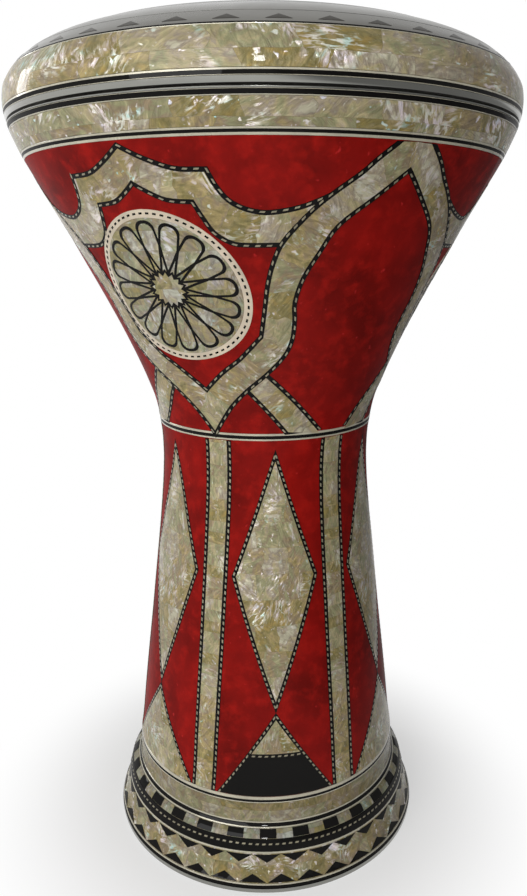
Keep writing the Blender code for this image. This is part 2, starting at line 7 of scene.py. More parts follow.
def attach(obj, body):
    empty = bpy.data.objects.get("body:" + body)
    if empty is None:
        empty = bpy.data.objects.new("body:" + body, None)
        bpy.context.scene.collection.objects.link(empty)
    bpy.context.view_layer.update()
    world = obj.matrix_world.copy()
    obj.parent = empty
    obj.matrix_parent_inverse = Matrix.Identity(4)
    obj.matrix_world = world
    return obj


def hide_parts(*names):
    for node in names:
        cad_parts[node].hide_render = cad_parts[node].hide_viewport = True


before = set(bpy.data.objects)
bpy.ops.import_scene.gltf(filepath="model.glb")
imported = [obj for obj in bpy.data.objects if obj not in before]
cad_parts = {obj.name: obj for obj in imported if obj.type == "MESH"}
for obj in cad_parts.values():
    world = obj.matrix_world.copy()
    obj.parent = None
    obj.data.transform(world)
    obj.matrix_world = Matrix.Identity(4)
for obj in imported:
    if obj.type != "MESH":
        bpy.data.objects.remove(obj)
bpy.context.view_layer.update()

# Finished outline of the body, as (height, radius), from the ground to the rim
BODY = [(0.0, .0992), (.0036, .0986), (.0100, .0960), (.0200, .0936), (.0285, .0913), (.0300, .0905),
        (.0320, .0890), (.0338, .0871), (.0350, .0857), (.0400, .0850), (.0503, .0843), (.0610, .0827),
        (.0860, .0799), (.1110, .0769), (.1360, .07375), (.1605, .07085), (.1840, .06805), (.2070, .0655),
        (.2300, .0635), (.2420, .0630), (.2527, .0632), (.2626, .0643), (.2750, .0666), (.2850, .0700),
        (.2960, .0743), (.3170, .0837), (.3367, .0935), (.3560, .1036), (.3750, .1135), (.3925, .1233),
        (.4090, .1324), (.4170, .1360), (.4233, .1385), (.4248, .1389)]

# Finished outline of the tension ring, up to its crown
RING = [(.4260, .1392), (.4300, .1401), (.4350, .1404), (.4410, .1397), (.4460, .1372), (.4500, .1342),
        (.4530, .1308), (.4560, .1268), (.4590, .1212), (.4610, .1160), (.4620, .1125), (.4630, .1108)]
CROWN = [(.1093, .4634), (.1080, .4627), (.1075, .4610)]

# How the inlay pattern sits on the drum
CELLS = 3
PANELS = 6
BOWL_TURN = -24.8
BOWL_LEAN = -4.5
BOWL_LOW = .2653
BOWL_HIGH = .4070
STEM_TURN = 5.0
STEM_LEAN = -1.3
STEM_LOW = .0530
STEM_HIGH = .2609

# Widths of the black edging, its plain line and the light stitches laid in it, and how close the stitches follow
EDGING = .0024
STITCH_LINE = .0015
STITCH_LONG = .0023
STITCH_WIDE = .0008
BOWL_PITCH = .0052
STEM_PITCH = .0036
DEPTH = .0004

# Depth of the inlay pocket and of the inner wall under the outline, and a turned band's depth and rounded edge
POCKET = .0021
WALL = .0061
BAND_DEPTH = .0014
BAND_ROUNDING = .00015

# How far each layer of the figures stands out. The upper ones lie over other figures
EDGE_LIFT = .00006
FACE_LIFT = .00012
STITCH_LIFT = .00016
UPPER_EDGE_LIFT = .00018
UPPER_FACE_LIFT = .00024

# Medallions: place in the bowl cell, and their petals
MEDALLION_LEVEL = .548
MEDALLION_SHIFT = -1.7
PETALS = 16
PETAL_TURN = 3.0
PETAL_HALF = .0047
PETAL_REACH = .0355

# Foot of the stem's lozenges, where the triangles meet them
LOZENGE_FOOT = .1033

TEETH = 40
ZIGZAGS = 36
SQUARES = 29

SCREWS = 8
SCREW_TURN = 22.5
SCREW_CIRCLE = .1185

# Sides of a turned piece, metres for one degree where outlines are drawn flat, and for one radian in a chip map
ROUND = 192
FLAT = .0017
CHART = .1

WHITE = (1.0, 1.0, 1.0, 1.0)


# Working helpers

def clear():
    if bpy.context.mode != "OBJECT":
        bpy.ops.object.mode_set(mode="OBJECT")
    bpy.ops.object.select_all(action="DESELECT")


def pick(*pieces):
    clear()
    for piece in pieces:
        piece.select_set(True)
    bpy.context.view_layer.objects.active = pieces[0]


def edit(piece):
    pick(piece)
    bpy.ops.object.mode_set(mode="EDIT")
    bpy.ops.mesh.select_mode(type="VERT")
    bpy.ops.mesh.select_all(action="SELECT")


def pick_open_edge():
    bpy.ops.mesh.select_all(action="DESELECT")
    bpy.ops.mesh.select_non_manifold(use_wire=False, use_boundary=True, use_multi_face=False,
                                     use_non_contiguous=False, use_verts=False)


def face_outwards():
    bpy.ops.mesh.select_all(action="SELECT")
    bpy.ops.mesh.normals_make_consistent(inside=False)
    clear()


def named(piece, name):
    piece.name = name
    piece.data.name = name
    return piece


def fresh(name):
    """The piece just made."""
    return named(bpy.context.active_object, name)


def draw_up(height):
    bpy.ops.mesh.extrude_region_move(TRANSFORM_OT_translate={"value": (0.0, 0.0, height)})


def join(name, pieces):
    pick(*pieces)
    bpy.ops.object.join()
    return fresh(name)


def copied(piece, name, place):
    """A copy with its own mesh, moved by a matrix."""
    copy = piece.copy()
    copy.data = piece.data.copy()
    bpy.context.scene.collection.objects.link(copy)
    copy.data.transform(place)
    return named(copy, name)


def again(piece, name, turn):
    """A copy turned about the drum's axis by so many degrees."""
    return copied(piece, name, Matrix.Rotation(math.radians(turn), 4, "Z"))


def round_drum(piece, name, count):
    """The piece and its copies, turned evenly round the drum."""
    return [piece] + [again(piece, name, 360.0 / count * k) for k in range(1, count)]


def apply_all(piece):
    pick(piece)
    for modifier in list(piece.modifiers):
        bpy.ops.object.modifier_apply(modifier=modifier.name)


def paint(piece, *finishes):
    piece.data.materials.clear()
    for finish in finishes:
        piece.data.materials.append(finish)


def keep(piece, node_name, rider):
    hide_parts(node_name)
    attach(piece, rider)


def keep_round(piece, name, node_name, count, first=1):
    """The piece and its copies, turned evenly round the drum and numbered on from first."""
    pieces = [piece] + [again(piece, "%s_%d" % (name, k + first), 360.0 / count * k)
                        for k in range(1, count + 1 - first)]
    for k, one in enumerate(pieces):
        keep(one, "%s_%d" % (node_name, k + first), "drum_body")


def smooth_line(points):
    """Radius at any height, on a smooth line through the points that never overshoots them."""
    gaps = [(z1 - z0, (r1 - r0) / (z1 - z0)) for (z0, r0), (z1, r1) in zip(points, points[1:])]
    slopes = [gaps[0][1]]
    for (h0, s0), (h1, s1) in zip(gaps, gaps[1:]):
        if s0 * s1 <= 0.0:
            slopes.append(0.0)
        else:
            w0, w1 = 2.0 * h1 + h0, h1 + 2.0 * h0
            slopes.append((w0 + w1) / (w0 / s0 + w1 / s1))
    slopes.append(gaps[-1][1])

    def radius(z):
        i = 0
        while i < len(points) - 2 and z > points[i + 1][0]:
            i += 1
        (z0, r0), (z1, r1) = points[i], points[i + 1]
        h = z1 - z0
        t = (z - z0) / h
        if t < 0.0:
            return r0 + slopes[i] * (z - z0)
        if t > 1.0:
            return r1 + slopes[i + 1] * (z - z1)
        return (r0 * (1 + 2 * t) * (1 - t) ** 2 + h * slopes[i] * t * (1 - t) ** 2
                + r1 * t * t * (3 - 2 * t) + h * slopes[i + 1] * t * t * (t - 1))
    return radius


body = smooth_line(BODY)
ring = smooth_line(RING)


def steepness(line, z):
    return (line(z + .0003) - line(z - .0003)) / .0006


def off(line, z, lift):
    """(radius, height) of the point that stands lift outside the outline at height z."""
    slope = steepness(line, z)
    size = math.hypot(1.0, slope)
    return line(z) + lift / size, z - lift * slope / size


def heights(low, high, step):
    count = max(1, math.ceil((high - low) / step))
    return [low + (high - low) * k / count for k in range(count + 1)]


def spot(turn, z, lift=0.0, line=body):
    r, height = off(line, z, lift)
    a = math.radians(turn)
    return Vector((r * math.sin(a), -r * math.cos(a), height))


def facing(turn, z, line=body):
    slope = steepness(line, z)
    a = math.radians(turn)
    return Vector((math.sin(a), -math.cos(a), -slope)).normalized()


# Turned pieces: a circle drawn up ring by ring

def turned(name, profile, closed=True, pole=False, sides=ROUND):
    """profile: (radius, height) points, round the section. pole closes the last ring to a point."""
    clear()
    r, z = profile[0]
    bpy.ops.mesh.primitive_circle_add(vertices=sides, radius=r, location=(0.0, 0.0, z))
    piece = fresh(name)
    bpy.ops.object.transform_apply(location=True)
    edit(piece)
    for new_r, new_z in profile[1:]:
        draw_up(new_z - z)
        bpy.ops.transform.resize(value=(new_r / r, new_r / r, 1.0), center_override=(0.0, 0.0, new_z))
        r, z = new_r, new_z
    if pole:
        bpy.ops.mesh.merge(type="CENTER")
    if closed:
        pick_open_edge()
        bpy.ops.mesh.bridge_edge_loops()
    face_outwards()
    return piece


def soften(piece, degrees=32.0):
    pick(piece)
    bpy.ops.object.shade_smooth_by_angle(angle=math.radians(degrees))
    clear()


def chip_layer(mesh):
    return mesh.uv_layers.get("chips") or mesh.uv_layers.new(name="chips")


def corners(mesh, face):
    """(number, point) of each corner of a face."""
    return [(corner, mesh.vertices[mesh.loops[corner].vertex_index].co) for corner in face.loop_indices]


def chip_map(piece):
    """A UV map in metres: u round the drum, v up it, with its seam at the back."""
    mesh = piece.data
    layer = chip_layer(mesh)
    for face in mesh.polygons:
        middle = math.atan2(face.center.x, -face.center.y)
        for corner, point in corners(mesh, face):
            a = math.atan2(point.x, -point.y)
            if a - middle > math.pi:
                a -= 2.0 * math.pi
            if middle - a > math.pi:
                a += 2.0 * math.pi
            layer.data[corner].uv = (a * CHART, point.z)


def band(name, line, low, high, stripes, finishes, step=.004, lift=0.0):
    """A thin turned band. stripes: (upper height, finish number) from the bottom up."""
    cuts = sorted(set([low, high] + [z for z, _ in stripes if low < z < high]))
    rows = []
    for a, b in zip(cuts, cuts[1:]):
        rows += heights(a, b, step)[:-1]
    inner = lift - BAND_ROUNDING
    profile = [off(line, low, inner), off(line, low + BAND_ROUNDING, lift)]
    profile += [off(line, z, lift) for z in rows[1:]]
    profile += [off(line, high - BAND_ROUNDING, lift), off(line, high, inner)]
    profile += [off(line, z, -BAND_DEPTH) for z in heights(low, high, step * 2.0)[::-1]]
    piece = turned(name, profile)
    soften(piece)
    paint(piece, *finishes)
    for face in piece.data.polygons:
        for top, number in stripes:
            if face.center.z <= top:
                face.material_index = number
                break
    chip_map(piece)
    return piece


# Laid pieces: a flat outline is drawn, cut on a grid and laid on the drum's outline

def laid(name, loops, lift, finish, line=body, turn_step=2.5, rise_step=.004, guides=None):
    """loops: closed outlines of (degrees round, height). guides: paths that the chips run along."""
    clear()
    drawn = bpy.data.curves.new(name, "CURVE")
    drawn.dimensions = "2D"
    drawn.fill_mode = "BOTH"
    for loop in loops:
        path = drawn.splines.new("POLY")
        path.points.add(len(loop) - 1)
        for point, (turn, z) in zip(path.points, loop):
            point.co = (turn * FLAT, z, 0.0, 1.0)
        path.use_cyclic_u = True
    piece = bpy.data.objects.new(name, drawn)
    bpy.context.scene.collection.objects.link(piece)
    pick(piece)
    bpy.ops.object.convert(target="MESH")
    piece = fresh(name)
    turns = [turn for loop in loops for turn, _ in loop]
    ups = [z for loop in loops for _, z in loop]
    edit(piece)
    for k in range(math.ceil(min(turns) / turn_step), math.floor(max(turns) / turn_step) + 1):
        bpy.ops.mesh.select_all(action="SELECT")
        bpy.ops.mesh.bisect(plane_co=(k * turn_step * FLAT, 0.0, 0.0), plane_no=(1.0, 0.0, 0.0))
    for k in range(math.ceil(min(ups) / rise_step), math.floor(max(ups) / rise_step) + 1):
        bpy.ops.mesh.select_all(action="SELECT")
        bpy.ops.mesh.bisect(plane_co=(0.0, k * rise_step, 0.0), plane_no=(0.0, 1.0, 0.0))
    bpy.ops.mesh.select_all(action="SELECT")
    bpy.ops.mesh.remove_doubles(threshold=.000004)
    clear()
    mesh = piece.data
    layer = chip_layer(mesh)
    for face in mesh.polygons:
        for corner, point in corners(mesh, face):
            turn, z = point.x / FLAT, point.y
            layer.data[corner].uv = along(guides, turn, z) if guides else (math.radians(turn) * CHART, z)
    for vertex in mesh.vertices:
        vertex.co = spot(vertex.co.x / FLAT, vertex.co.y, lift, line)
    edit(piece)
    face_outwards()
    middle = mesh.polygons[0]
    if middle.normal.dot(Vector((middle.center.x, middle.center.y, 0.0))) < 0.0:
        edit(piece)
        bpy.ops.mesh.flip_normals()
        clear()
    skin = piece.modifiers.new("thickness", "SOLIDIFY")
    skin.thickness = DEPTH
    skin.offset = -1.0
    apply_all(piece)
    paint(piece, finish)
    true_shading(piece, line)
    return piece


def true_shading(piece, line):
    """Outer faces shade as the drum's own curve, so that the lacquer reflects as one surface."""
    def outward(point):
        return facing(math.degrees(math.atan2(point.x, -point.y)), point.z, line)

    mesh = piece.data
    custom = [Vector((0.0, 0.0, 0.0))] * len(mesh.loops)
    for face in mesh.polygons:
        face.use_smooth = True
        outer = face.normal.dot(outward(face.center)) > .9
        for corner, point in corners(mesh, face):
            custom[corner] = outward(point) if outer else face.normal.copy()
    mesh.normals_split_custom_set(custom)


def metric(z):
    """How many metres one degree round, and one metre of height, measure on the body there."""
    return math.radians(1.0) * body(z), math.hypot(1.0, steepness(body, z))


def stride(start, end):
    """(metres round, metres up the surface) from one point of a path to the next."""
    wide, tall = metric((start[1] + end[1]) / 2.0)
    return (end[0] - start[0]) * wide, (end[1] - start[1]) * tall


def beside(path, distance):
    """The path moved sideways by distance, to its left, with mitred corners."""
    sides = []
    for start, end in zip(path, path[1:]):
        dx, dy = stride(start, end)
        size = math.hypot(dx, dy)
        sides.append((-dy / size, dx / size))
    moved = []
    for i, (turn, z) in enumerate(path):
        a, b = sides[max(i - 1, 0)], sides[min(i, len(sides) - 1)]
        mx, my = a[0] + b[0], a[1] + b[1]
        size = math.hypot(mx, my) or 1.0
        mx, my = mx / size, my / size
        reach = distance / max(mx * a[0] + my * a[1], .35)
        wide, tall = metric(z)
        moved.append((turn + mx * reach / wide, z + my * reach / tall))
    return unlooped(moved)


def unlooped(path):
    """The path without the small loops that an inside corner leaves in it."""
    i = 0
    while i < len(path) - 3:
        (ax, ay), (bx, by) = path[i], path[i + 1]
        for j in range(min(i + 9, len(path) - 2), i + 1, -1):
            (cx, cy), (dx, dy) = path[j], path[j + 1]
            wide, tall = metric(by)
            if math.hypot((cx - bx) * wide, (cy - by) * tall) > .002:
                continue
            size = (bx - ax) * (dy - cy) - (by - ay) * (dx - cx)
            if abs(size) < 1e-12:
                continue
            t = ((cx - ax) * (dy - cy) - (cy - ay) * (dx - cx)) / size
            u = ((cx - ax) * (by - ay) - (cy - ay) * (bx - ax)) / size
            if 0.0 < t < 1.0 and 0.0 < u < 1.0:
                path = path[:i + 1] + [(ax + (bx - ax) * t, ay + (by - ay) * t)] + path[j + 1:]
                break
        i += 1
    return path


def around(loop, distance):
    """A closed outline moved sideways by distance."""
    return beside([loop[-1]] + loop + [loop[0]], distance)[1:-1]


def rounded(path):
    """A smooth path through the points."""
    ends = [path[0]] + path + [path[-1]]
    made = []
    for p0, p1, p2, p3 in zip(ends, ends[1:], ends[2:], ends[3:]):
        for t in (0.0, .25, .5, .75):
            made.append(tuple(.5 * (2 * b + (c - a) * t + (2 * a - 5 * b + 4 * c - d) * t * t
                                    + (3 * b - a - 3 * c + d) * t ** 3)
                              for a, b, c, d in zip(p0, p1, p2, p3)))
    return made + [path[-1]]


def along(guides, turn, z):
    """(distance along, distance across) of a point, from the nearest of the guide paths."""
    best = None
    for number, guide in enumerate(guides):
        run = float(number)
        for (t0, z0), (t1, z1) in zip(guide, guide[1:]):
            wide, tall = metric((z0 + z1) / 2.0)
            dx, dy = (t1 - t0) * wide, (z1 - z0) * tall
            px, py = (turn - t0) * wide, (z - z0) * tall
            size = math.hypot(dx, dy)
            near = min(max((px * dx + py * dy) / size / size, 0.0), 1.0)
            gap = math.hypot(px - dx * near, py - dy * near)
            if best is None or gap < best[0]:
                best = (gap, run + near * size, (dx * py - dy * px) / size)
            run += size
    return best[1], best[2]


def inside(loop, turn, z):
    found = False
    for (t0, z0), (t1, z1) in zip([loop[-1]] + loop[:-1], loop):
        if (z0 > z) != (z1 > z) and turn < (t1 - t0) * (z - z0) / (z1 - z0) + t0:
            found = not found
    return found


def stitch(name, long, wide, lean, finish):
    """One light stitch, lying flat at the origin with its top up."""
    clear()
    bpy.ops.mesh.primitive_plane_add(size=1.0, location=(0.0, 0.0, 0.0))
    piece = fresh(name)
    edit(piece)
    bpy.ops.transform.resize(value=(long, wide, 1.0))
    clear()
    for vertex in piece.data.vertices:
        if vertex.co.y > 0.0:
            vertex.co.x += lean
    edit(piece)
    draw_up(.0003)
    face_outwards()
    chip_layer(piece.data)
    for other in list(piece.data.uv_layers):
        if other.name != "chips":
            piece.data.uv_layers.remove(other)
    paint(piece, finish)
    return piece


def stitched(name, model, paths, pitch, lift=STITCH_LIFT, wanted=None):
    """Copies of one stitch set along the paths, made one piece."""
    copies = []
    for path in paths:
        lengths = [math.hypot(*stride(start, end)) for start, end in zip(path, path[1:])]
        total = sum(lengths)
        count = max(1, round(total / pitch))
        for k in range(count):
            goal = (k + .5) * total / count
            i = 0
            while i < len(lengths) - 1 and goal > lengths[i]:
                goal -= lengths[i]
                i += 1
            t = goal / lengths[i]
            (t0, z0), (t1, z1) = path[i], path[i + 1]
            turn, z = t0 + (t1 - t0) * t, z0 + (z1 - z0) * t
            if wanted and not wanted(turn, z):
                continue
            up = facing(turn, z)
            ahead = spot(turn + (t1 - t0) * .01, z + (z1 - z0) * .01) - spot(turn, z)
            ahead = (ahead - up * ahead.dot(up)).normalized()
            place = Matrix((ahead, up.cross(ahead), up)).transposed().to_4x4()
            place.translation = spot(turn, z, lift - .0003)
            copies.append(copied(model, name, place))
    return join(name, copies)


# Finishes

def feed(tree, value, end):
    """Wires an output, or a node's first output, into an input, or sets the input to a plain value."""
    if hasattr(value, "outputs"):
        value = value.outputs[0]
    if isinstance(value, bpy.types.NodeSocket):
        tree.links.new(value, end)
    else:
        end.default_value = value


def fill(tree, made, inputs):
    """Feeds a node's inputs: in their order, or by name or number."""
    for name, value in inputs.items() if isinstance(inputs, dict) else enumerate(inputs):
        feed(tree, value, made.inputs[name])


def node(tree, kind, inputs=(), **settings):
    made = tree.nodes.new("ShaderNode" + kind)
    for name, value in settings.items():
        setattr(made, name, value)
    fill(tree, made, inputs)
    return made


def maths(tree, how, *inputs, clamp=False):
    return node(tree, "Math", inputs, operation=how, use_clamp=clamp)


def vector_maths(tree, how, *inputs):
    return node(tree, "VectorMath", inputs, operation=how)


def scaled(tree, vector, scale):
    return node(tree, "VectorMath", {0: vector, "Scale": scale}, operation="SCALE")


def mixed(tree, how, share, first, second):
    return node(tree, "Mix", {0: share, 6: first, 7: second}, data_type="RGBA", blend_type=how).outputs[2]


def noise(tree, place, scale, detail, roughness=.5, distortion=0.0):
    return node(tree, "TexNoise", {"Vector": place, "Scale": scale, "Detail": detail, "Roughness": roughness,
                                   "Distortion": distortion})


def ranged(tree, value, start, end, low, high, way="LINEAR"):
    """low to high, as the value goes from start to end."""
    return node(tree, "MapRange", (value, start, end, low, high), interpolation_type=way)


def ramp(tree, value, *stops):
    """A colour ramp. Each stop is (place, colour or grey level)."""
    made = node(tree, "ValToRGB", (value,))
    bar = made.color_ramp
    while len(bar.elements) < len(stops):
        bar.elements.new(.5)
    for element, (place, colour) in zip(bar.elements, stops):
        element.position = place
        element.color = (*colour, 1.0) if isinstance(colour, tuple) else (colour, colour, colour, 1.0)
    return made


def group_start(name, inputs, outputs):
    """A node group and the outputs of its start. A socket is (name, kind, value)."""
    group = bpy.data.node_groups.new(name, "ShaderNodeTree")
    for way, sockets in (("INPUT", inputs), ("OUTPUT", outputs)):
        for label, kind, *value in sockets:
            made = group.interface.new_socket(name=label, in_out=way, socket_type="NodeSocket" + kind)
            if value:
                made.default_value = value[0]
    return group, group.nodes.new("NodeGroupInput").outputs


def group_end(group, *outputs):
    end = group.nodes.new("NodeGroupOutput")
    fill(group, end, outputs)
    return group


def shell_chip_group():
    """Cut shell chips: each has its own hue and ripple direction, with glints painted into the colour as highlights.
    The vector is in centimetres.
    """
    group, start = group_start(
        "shell_chips",
        [("Vector", "Vector"), ("Chip Width", "Float", 2.0), ("Chip Height", "Float", 1.5),
         ("Seed", "Float", 0.0), ("Ripple", "Float", 1.0), ("Contrast", "Float", 1.0)],
        [("Color", "Color"), ("Height", "Float"), ("Shine", "Float")])
    place = start["Vector"]

    # Chips lie like bricks on a grid that wanders a little, and each has three random numbers
    wander = noise(group, place, .9, 1.0)
    shift = vector_maths(group, "MULTIPLY_ADD", wander.outputs["Color"], (.9, .16, 0.0), place)
    chips = node(group, "TexBrick", {
        "Vector": shift, "Color1": (0, 0, 0, 1), "Color2": WHITE, "Mortar": (0, 0, 0, 1), "Scale": 1.0,
        "Mortar Size": .006, "Mortar Smooth": .6, "Bias": 0.0, "Brick Width": start["Chip Width"],
        "Row Height": start["Chip Height"]}, offset=.37)
    seed = maths(group, "MULTIPLY_ADD", chips, 371.0, start["Seed"])
    luck = node(group, "TexWhiteNoise", {"W": seed}, noise_dimensions="1D")
    parts = node(group, "SeparateColor", (luck.outputs["Color"],))

    # Ripples run their own way in each chip, over clouds that pass from chip to chip
    angle = maths(group, "MULTIPLY", parts, 6.283)
    turn = node(group, "VectorRotate", {"Vector": place, "Angle": angle}, rotation_type="Z_AXIS")
    stretch = node(group, "Mapping", {"Vector": turn, "Scale": (1.0, .3, 1.0)})
    ripples = noise(group, stretch, 3.2, 4.0, .62, 1.3)
    clouds = noise(group, place, 1.2, 4.0, .55, .4)
    base = maths(group, "MULTIPLY_ADD", clouds, 1.3, -.5)
    sway = maths(group, "MULTIPLY", parts.outputs[1], .78)
    hue = ramp(group, maths(group, "ADD", base, sway, clamp=True),
               (0.0, (.29, .21, .065)), (.18, (.20, .17, .065)), (.34, (.32, .25, .11)), (.5, (.25, .19, .12)),
               (.64, (.26, .255, .135)), (.78, (.36, .305, .17)), (.9, (.29, .24, .18)), (1.0, (.42, .39, .28)))
    bright = ramp(group, ripples, (.28, .62), (.45, .9), (.6, 1.12), (.76, 1.7))
    shade = mixed(group, "MULTIPLY", 1.0, hue, bright)

    # Painted highlights: pale, cyan and lilac glints mixed into the colour, as streaks in some zones and single
    # sparks
    zone = ramp(group, noise(group, place, .62, 2.0, .45, .5), (.52, .03), (.64, 1.1))
    streak = ramp(group, noise(group, stretch, 5.5, 3.0, .6, .7), (.47, 0.0), (.66, 1.0))
    flicker = noise(group, turn, 3.4, 2.0, .5, .4)
    spark = ramp(group, flicker, (.64, 0.0), (.72, .8))
    glint_tint = ramp(group, clouds.outputs["Color"], (.36, (.46, .78, .74)), (.46, (.86, .84, .72)),
                (.56, (.84, .72, .74)), (.68, (.70, .78, .90)))
    both = maths(group, "ADD", maths(group, "MULTIPLY", zone, streak), spark)
    power = maths(group, "MULTIPLY", both, start["Contrast"], clamp=True)
    painted_glint_colour = mixed(group, "MIX", power, shade, glint_tint)
    seam = mixed(group, "MULTIPLY", chips.outputs["Fac"], painted_glint_colour, (.8, .76, .68, 1.0))
    rough = maths(group, "MULTIPLY", ripples, start["Ripple"])
    return group_end(group, seam, maths(group, "MULTIPLY_ADD", flicker, .5, rough), power)


def mottle_and_glint_group():
    """Cloudy mottling of the dyed shell under the red lacquer, with a few bright red flecks that are painted glints
    of the shell.
    """
    group, start = group_start(
        "dyed_mottle_and_painted_glints",
        [("Vector", "Vector"), ("Dark", "Color", (.13, .0035, .0025, 1.0)),
         ("Main", "Color", (.235, .0055, .0038, 1.0)), ("Light", "Color", (.31, .008, .005, 1.0))],
        [("Color", "Color"), ("Height", "Float")])
    place = start["Vector"]
    cloud = noise(group, place, 30.0, 5.0, .62, .15)
    blotch = noise(group, place, 120.0, 3.0, .6, .2)
    # Fine noise for the bright red flecks: painted glints in the base colour
    glint_noise = noise(group, place, 260.0, 2.0)
    dyed = mixed(group, "MIX", ramp(group, cloud, (.34, 0.0), (.62, 1.0)), start["Dark"], start["Main"])
    spotted = mixed(group, "MIX", ramp(group, blotch, (.48, 0.0), (.72, .8)), dyed, start["Light"])
    glinted = mixed(group, "MIX", ramp(group, glint_noise, (.70, 0.0), (.80, .45)), spotted, (.62, .03, .03, 1.0))
    return group_end(group, glinted, cloud)


def handling_group():
    """Faint smears and fine scratches on a surface that is handled and set down."""
    group, start = group_start(
        "handling_marks",
        [("Vector", "Vector"), ("Scale", "Float", 30.0), ("Low", "Float", .1), ("High", "Float", .2)],
        [("Roughness", "Float"), ("Height", "Float")])
    smear = noise(group, start["Vector"], start["Scale"], 5.0, .6, .4)
    return group_end(group, ranged(group, smear, .35, .7, start["Low"], start["High"]),
                     noise(group, start["Vector"], 900.0, 2.0))


SHELL = shell_chip_group()
MOTTLE_AND_GLINTS = mottle_and_glint_group()
HANDLING = handling_group()


def finish_start(name):
    made = bpy.data.materials.new(name)
    made.use_nodes = True
    return made, made.node_tree, made.node_tree.nodes["Principled BSDF"]


def bumped(tree, shader, height, strength, distance):
    bump = node(tree, "Bump", {"Strength": strength, "Distance": distance, "Height": height})
    fill(tree, shader, {"Normal": bump})


def coated(tree, shader, weight, ior):
    fill(tree, shader, {"Coat Weight": weight, "Coat Roughness": .03, "Coat IOR": ior})


def shell_finish(name, chip, seed, ripple=1.0, glint_strength=.6, gain=1.0, cold=0.0):
    """chip: (width, height) of one chip in centimetres, along and up the piece's own map."""
    made, tree, shader = finish_start(name)
    centimetres = scaled(tree, node(tree, "UVMap", uv_map="chips"), 100.0)
    moved = vector_maths(tree, "ADD", centimetres, (seed * 3.7, seed * 1.3, 0.0))
    chips = node(tree, "Group", {"Vector": moved, "Chip Width": chip[0], "Chip Height": chip[1], "Seed": seed,
                                 "Ripple": ripple, "Contrast": glint_strength}, node_tree=SHELL)
    toned = mixed(tree, "MULTIPLY", 1.0, chips.outputs["Color"],
                  (gain * (1 - cold * .1), gain, gain * (1 + cold * .2), 1.0))
    # The base colour carries painted glint highlights, and the same glint mask raises the metallic share
    fill(tree, shader, {"Base Color": toned, "Metallic": ranged(tree, chips.outputs["Shine"], 0.0, 1.0, .03, .5),
                        "Roughness": .26, "Specular IOR Level": .1})
    bumped(tree, shader, chips.outputs["Height"], .5, .0012)
    coated(tree, shader, .3, 1.4)
    return made


def red_finish():
    made, tree, shader = finish_start("red_dyed_shell")
    where = node(tree, "TexCoord").outputs["Object"]
    dye_and_glints = node(tree, "Group", {"Vector": where}, node_tree=MOTTLE_AND_GLINTS)
    fill(tree, shader, {"Base Color": dye_and_glints, "Roughness": .4, "Specular IOR Level": 0.0})
    bumped(tree, shader, dye_and_glints.outputs["Height"], .12, .001)
    coated(tree, shader, .15, 1.4)
    return made


def plain_finish(name, colour, metallic, low, high, vary, scale=30.0, grain=0.0, coat=0.0, coat_ior=1.35,
                 specular=.5, patch=18.0):
    """A solid finish with slight cloudiness, handling marks and, where it has any, grain."""
    made, tree, shader = finish_start(name)
    where = node(tree, "TexCoord").outputs["Object"]
    marks = node(tree, "Group", {"Vector": where, "Scale": scale, "Low": low, "High": high}, node_tree=HANDLING)
    tone = ranged(tree, noise(tree, where, patch, 4.0), .3, .7, 1.0 - vary, 1.0 + vary)
    fill(tree, shader, {"Base Color": scaled(tree, colour, tone), "Roughness": marks, "Metallic": metallic,
                        "Specular IOR Level": specular})
    if grain:
        bumped(tree, shader, marks.outputs["Height"], grain, .0003)
    if coat:
        coated(tree, shader, coat, coat_ior)
    return made


# The glint strength of each shell sets how strongly highlights are painted into its colour
STRAP_SHELL = shell_finish("strap_shell", (1.5, 2.4), 1.0, glint_strength=.8, gain=.97)
STEM_SHELL = shell_finish("stem_strap_shell", (2.6, .65), 2.0, glint_strength=.55, gain=1.05)
FIGURE_SHELL = shell_finish("figure_shell", (1.9, 1.5), 3.0, ripple=1.2, glint_strength=.75)
PETAL_SHELL = shell_finish("petal_shell", (.9, .9), 4.0, cold=.6)
RING_SHELL = shell_finish("ring_shell", (2.6, 2.1), 5.0, ripple=1.3, glint_strength=.9, gain=.98)
RIM_SHELL = shell_finish("rim_shell", (2.2, 1.7), 6.0, ripple=1.3, glint_strength=1.6, gain=.92)
FOOT_SHELL = shell_finish("foot_shell", (2.4, 1.7), 7.0, glint_strength=.35, gain=.72)
ZIGZAG_SHELL = shell_finish("zigzag_shell", (.872, 2.4), 8.0, glint_strength=1.1, gain=.9)
CHECKER_SHELL = shell_finish("checker_shell", (1.2, 1.0), 9.0, glint_strength=.4, gain=.95, cold=1.0)
RED = red_finish()
BLACK = plain_finish("black_filler", (.0045, .004, .0035), 0.0, .22, .34, coat=.35, specular=0.0, vary=.3)
# The black teeth get a dark grey base: a painted haze standing in for the lacquer's reflection over them
HAZED_TOOTH = plain_finish("tooth_black_painted_haze", (.040, .036, .028), 0.0, .3, .4, coat=.4, coat_ior=1.4, specular=.1, vary=.2)
PALE = plain_finish("pale_line", (.44, .41, .315), .2, .22, .34, coat=.5, vary=.16, patch=60.0)
STITCH = plain_finish("stitch_shell", (.23, .205, .135), .15, .28, .4, coat=.4, vary=.25, patch=240.0)
CREAM = plain_finish("cream_ring", (.54, .46, .35), .05, .28, .4, coat=.4, vary=.14, patch=80.0)
POLISHED = plain_finish("polished_casting", (.30, .30, .275), 1.0, .12, .24, scale=40.0, grain=.03, coat=.6,
                        coat_ior=1.4, vary=.08)
CROWN_METAL = plain_finish("crown_lacquer", (.2, .196, .18), .9, .26, .38, scale=22.0, grain=.05, coat=.3,
                           coat_ior=1.4, vary=.1)
RAW = plain_finish("sand_cast_wall", (.46, .455, .44), 1.0, .42, .62, scale=60.0, grain=.45, vary=.14)
